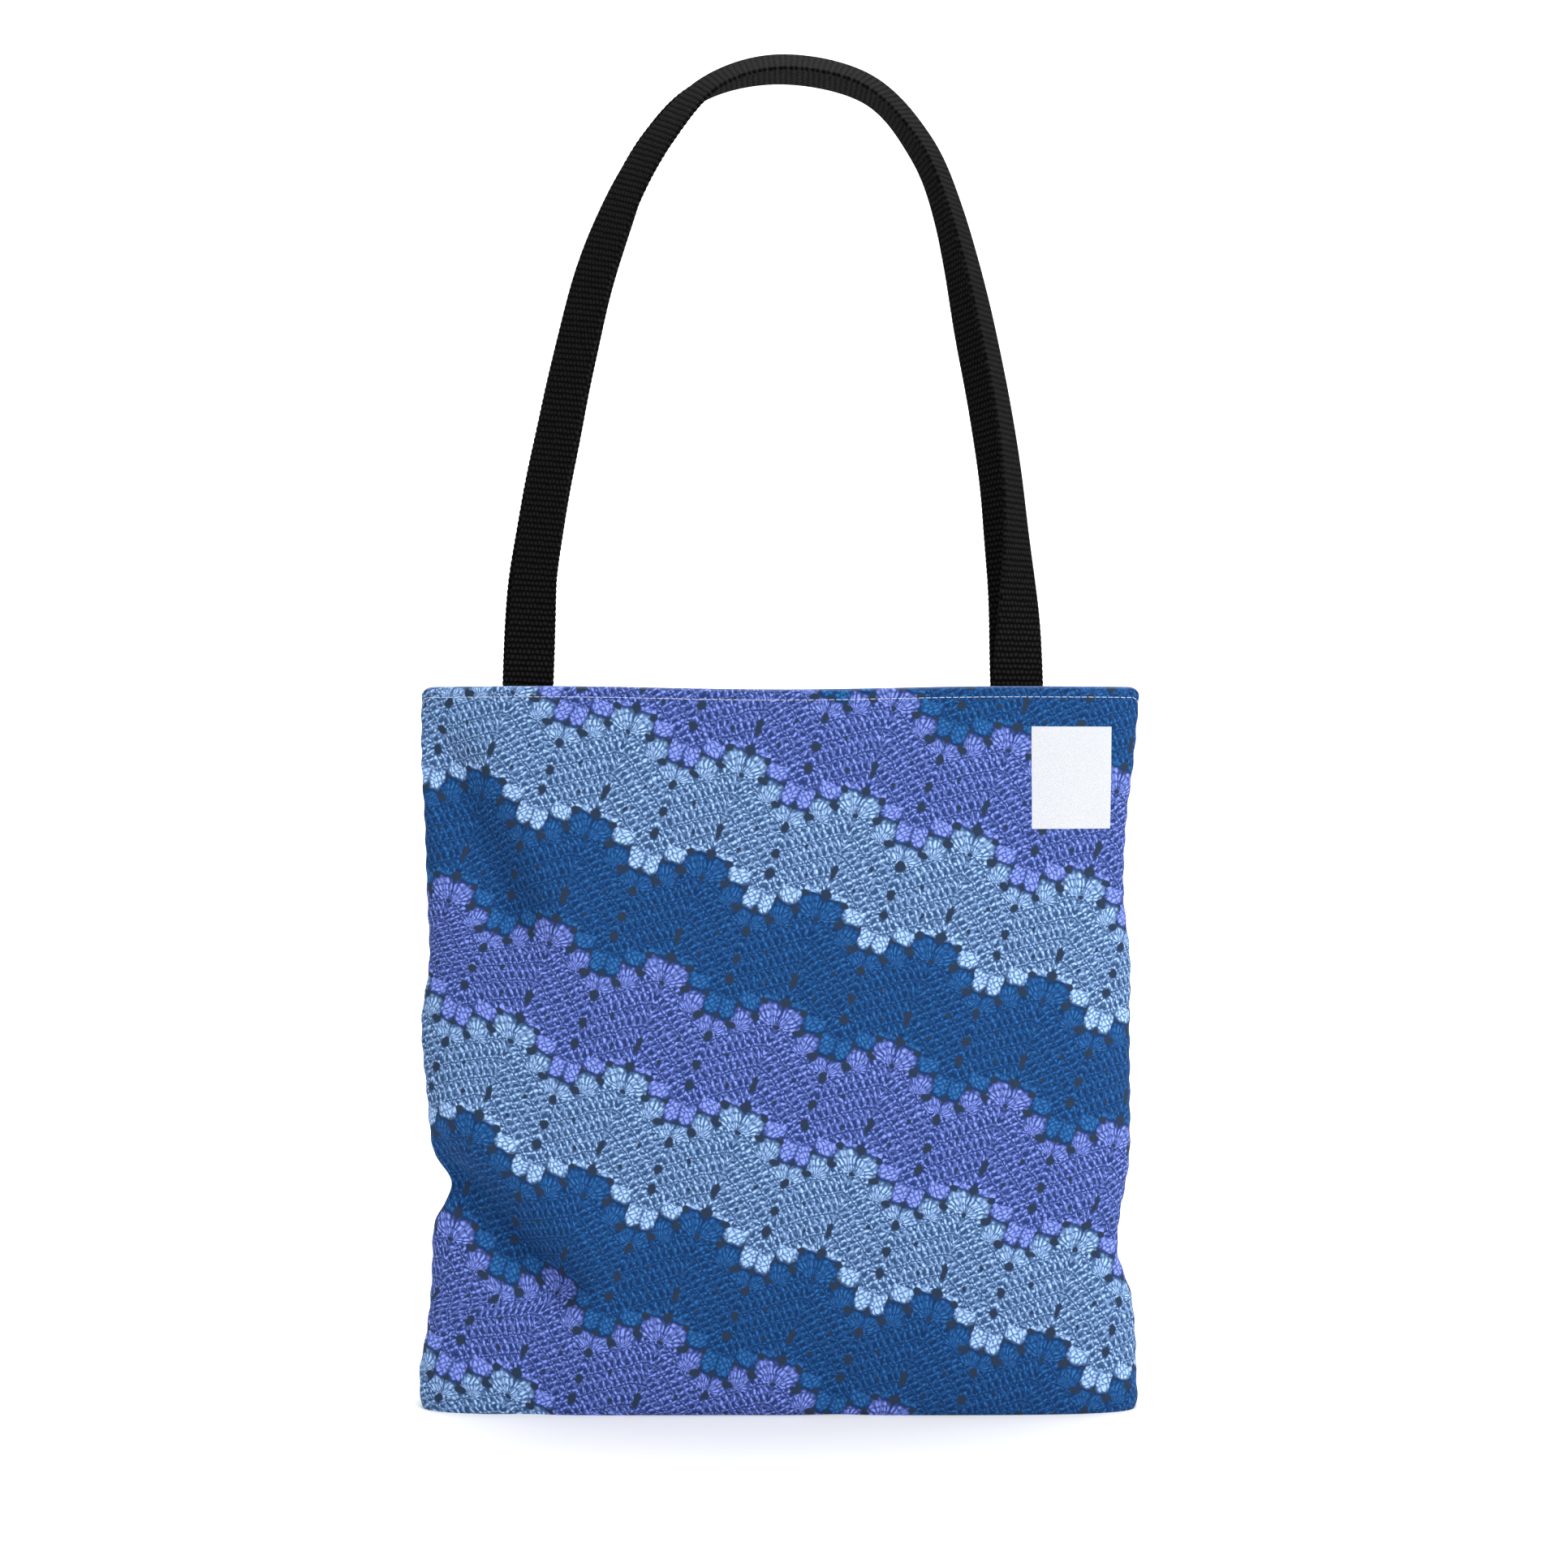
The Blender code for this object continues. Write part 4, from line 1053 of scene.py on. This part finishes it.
class TOTE_OT_stage(bpy.types.Operator):
    """Sets up the pale floor that sweeps up behind the bag, the soft lights and the camera"""

    bl_idname = "tote.stage"
    bl_label = "Stage"

    def execute(self, context):
        scene = context.scene
        bpy.ops.object.select_all(action="DESELECT")
        bpy.ops.mesh.primitive_plane_add(size=1.0, location=(0, 0, 0))
        floor = context.object
        floor.name = floor.data.name = "studio_floor"
        bpy.ops.object.mode_set(mode="EDIT")
        shape = bmesh.from_edit_mesh(floor.data)
        for corner in shape.verts:
            corner.co = Vector((corner.co.x * 9.0, -3.2 if corner.co.y < 0 else 2.2, 0.0))
        for edge in shape.edges:
            edge.select_set(all(v.co.y > 2.0 for v in edge.verts))
        bmesh.update_edit_mesh(floor.data)
        for rise, run in ((0.08, 0.50), (0.30, 0.40), (0.55, 0.22), (0.90, 0.08), (3.0, 0.0)):
            bpy.ops.mesh.extrude_edges_move(TRANSFORM_OT_translate={"value": (0, run, rise)})
        bpy.ops.object.mode_set(mode="OBJECT")
        smooth = floor.modifiers.new("sweep", "SUBSURF")
        smooth.levels = smooth.render_levels = 3
        bpy.ops.object.modifier_apply(modifier=smooth.name)
        bpy.ops.object.shade_smooth()
        floor.data.materials.append(studio_paper("background_paper_white"))

        world = bpy.data.worlds.new("studio_air")
        world.use_nodes = True
        world.node_tree.nodes["Background"].inputs["Color"].default_value = (1, 1, 1, 1)
        world.node_tree.nodes["Background"].inputs["Strength"].default_value = 0.30
        scene.world = world
        lamps = (
            ("key_softbox", (1.35, -1.35, 1.05), (0.0, 0.0, 0.26), 1.0, 30.0),
            ("fill_softbox", (-0.9, -1.9, 0.7), (0.0, 0.0, 0.26), 1.4, 7.0),
            ("top_softbox", (0.0, -0.2, 2.4), (0.0, -0.2, 0.0), 2.4, 42.0),
            ("wall_softbox", (0.0, 0.9, 2.5), (0.0, 3.2, 0.9), 2.6, 120.0),
        )
        for name, place, aim, size, power in lamps:
            lamp = bpy.data.lights.new(name, "AREA")
            lamp.shape, lamp.size, lamp.energy = "SQUARE", size, power
            holder = bpy.data.objects.new(name, lamp)
            holder.location = place
            holder.rotation_euler = (Vector(aim) - Vector(place)).to_track_quat("-Z", "Y").to_euler()
            scene.collection.objects.link(holder)

        lens = bpy.data.cameras.new("photo_camera")
        lens.lens, lens.sensor_width, lens.sensor_fit = 50.0, 36.0, "HORIZONTAL"
        camera = bpy.data.objects.new("photo_camera", lens)
        camera.location = (0.0015, -1.0016, 0.2875)
        camera.rotation_euler = (math.radians(90), 0.0, 0.0)
        scene.collection.objects.link(camera)
        scene.camera = camera
        scene.view_settings.view_transform = "Standard"
        return {"FINISHED"}


class TOTE_PT_panel(bpy.types.Panel):
    """Lists the tote bag's pieces in the order in which they are built"""

    bl_idname = "TOTE_PT_panel"
    bl_label = "Tote bag"
    bl_space_type = "VIEW_3D"
    bl_region_type = "UI"
    bl_category = "Tote bag"

    def draw(self, context):
        layout = self.layout
        for operator in OPERATORS:
            layout.operator(operator.bl_idname)
        for group in (context.scene.tote_bag, context.scene.tote_strap, context.scene.tote_colours):
            box = layout.box()
            for name in group.__annotations__:
                box.prop(group, name)


GROUPS = {"tote_bag": ToteBagSizes, "tote_strap": ToteStrapSizes, "tote_colours": ToteColours}
OPERATORS = (TOTE_OT_stage, TOTE_OT_bag, TOTE_OT_hem_stitches, TOTE_OT_straps, TOTE_OT_strap_stitches)


def register():
    for group in GROUPS.values():
        bpy.utils.register_class(group)
    for operator in OPERATORS:
        bpy.utils.register_class(operator)
    bpy.utils.register_class(TOTE_PT_panel)
    for name, group in GROUPS.items():
        setattr(bpy.types.Scene, name, bpy.props.PointerProperty(type=group))


def unregister():
    for name in GROUPS:
        delattr(bpy.types.Scene, name)
    bpy.utils.unregister_class(TOTE_PT_panel)
    for operator in reversed(OPERATORS):
        bpy.utils.unregister_class(operator)
    for group in GROUPS.values():
        bpy.utils.unregister_class(group)


def main():
    """Builds every piece."""
    register()
    bpy.ops.tote.stage()
    bpy.ops.tote.bag()
    bpy.ops.tote.hem_stitches()
    bpy.ops.tote.straps()
    bpy.ops.tote.strap_stitches()


if __name__ == "__main__":
    main()
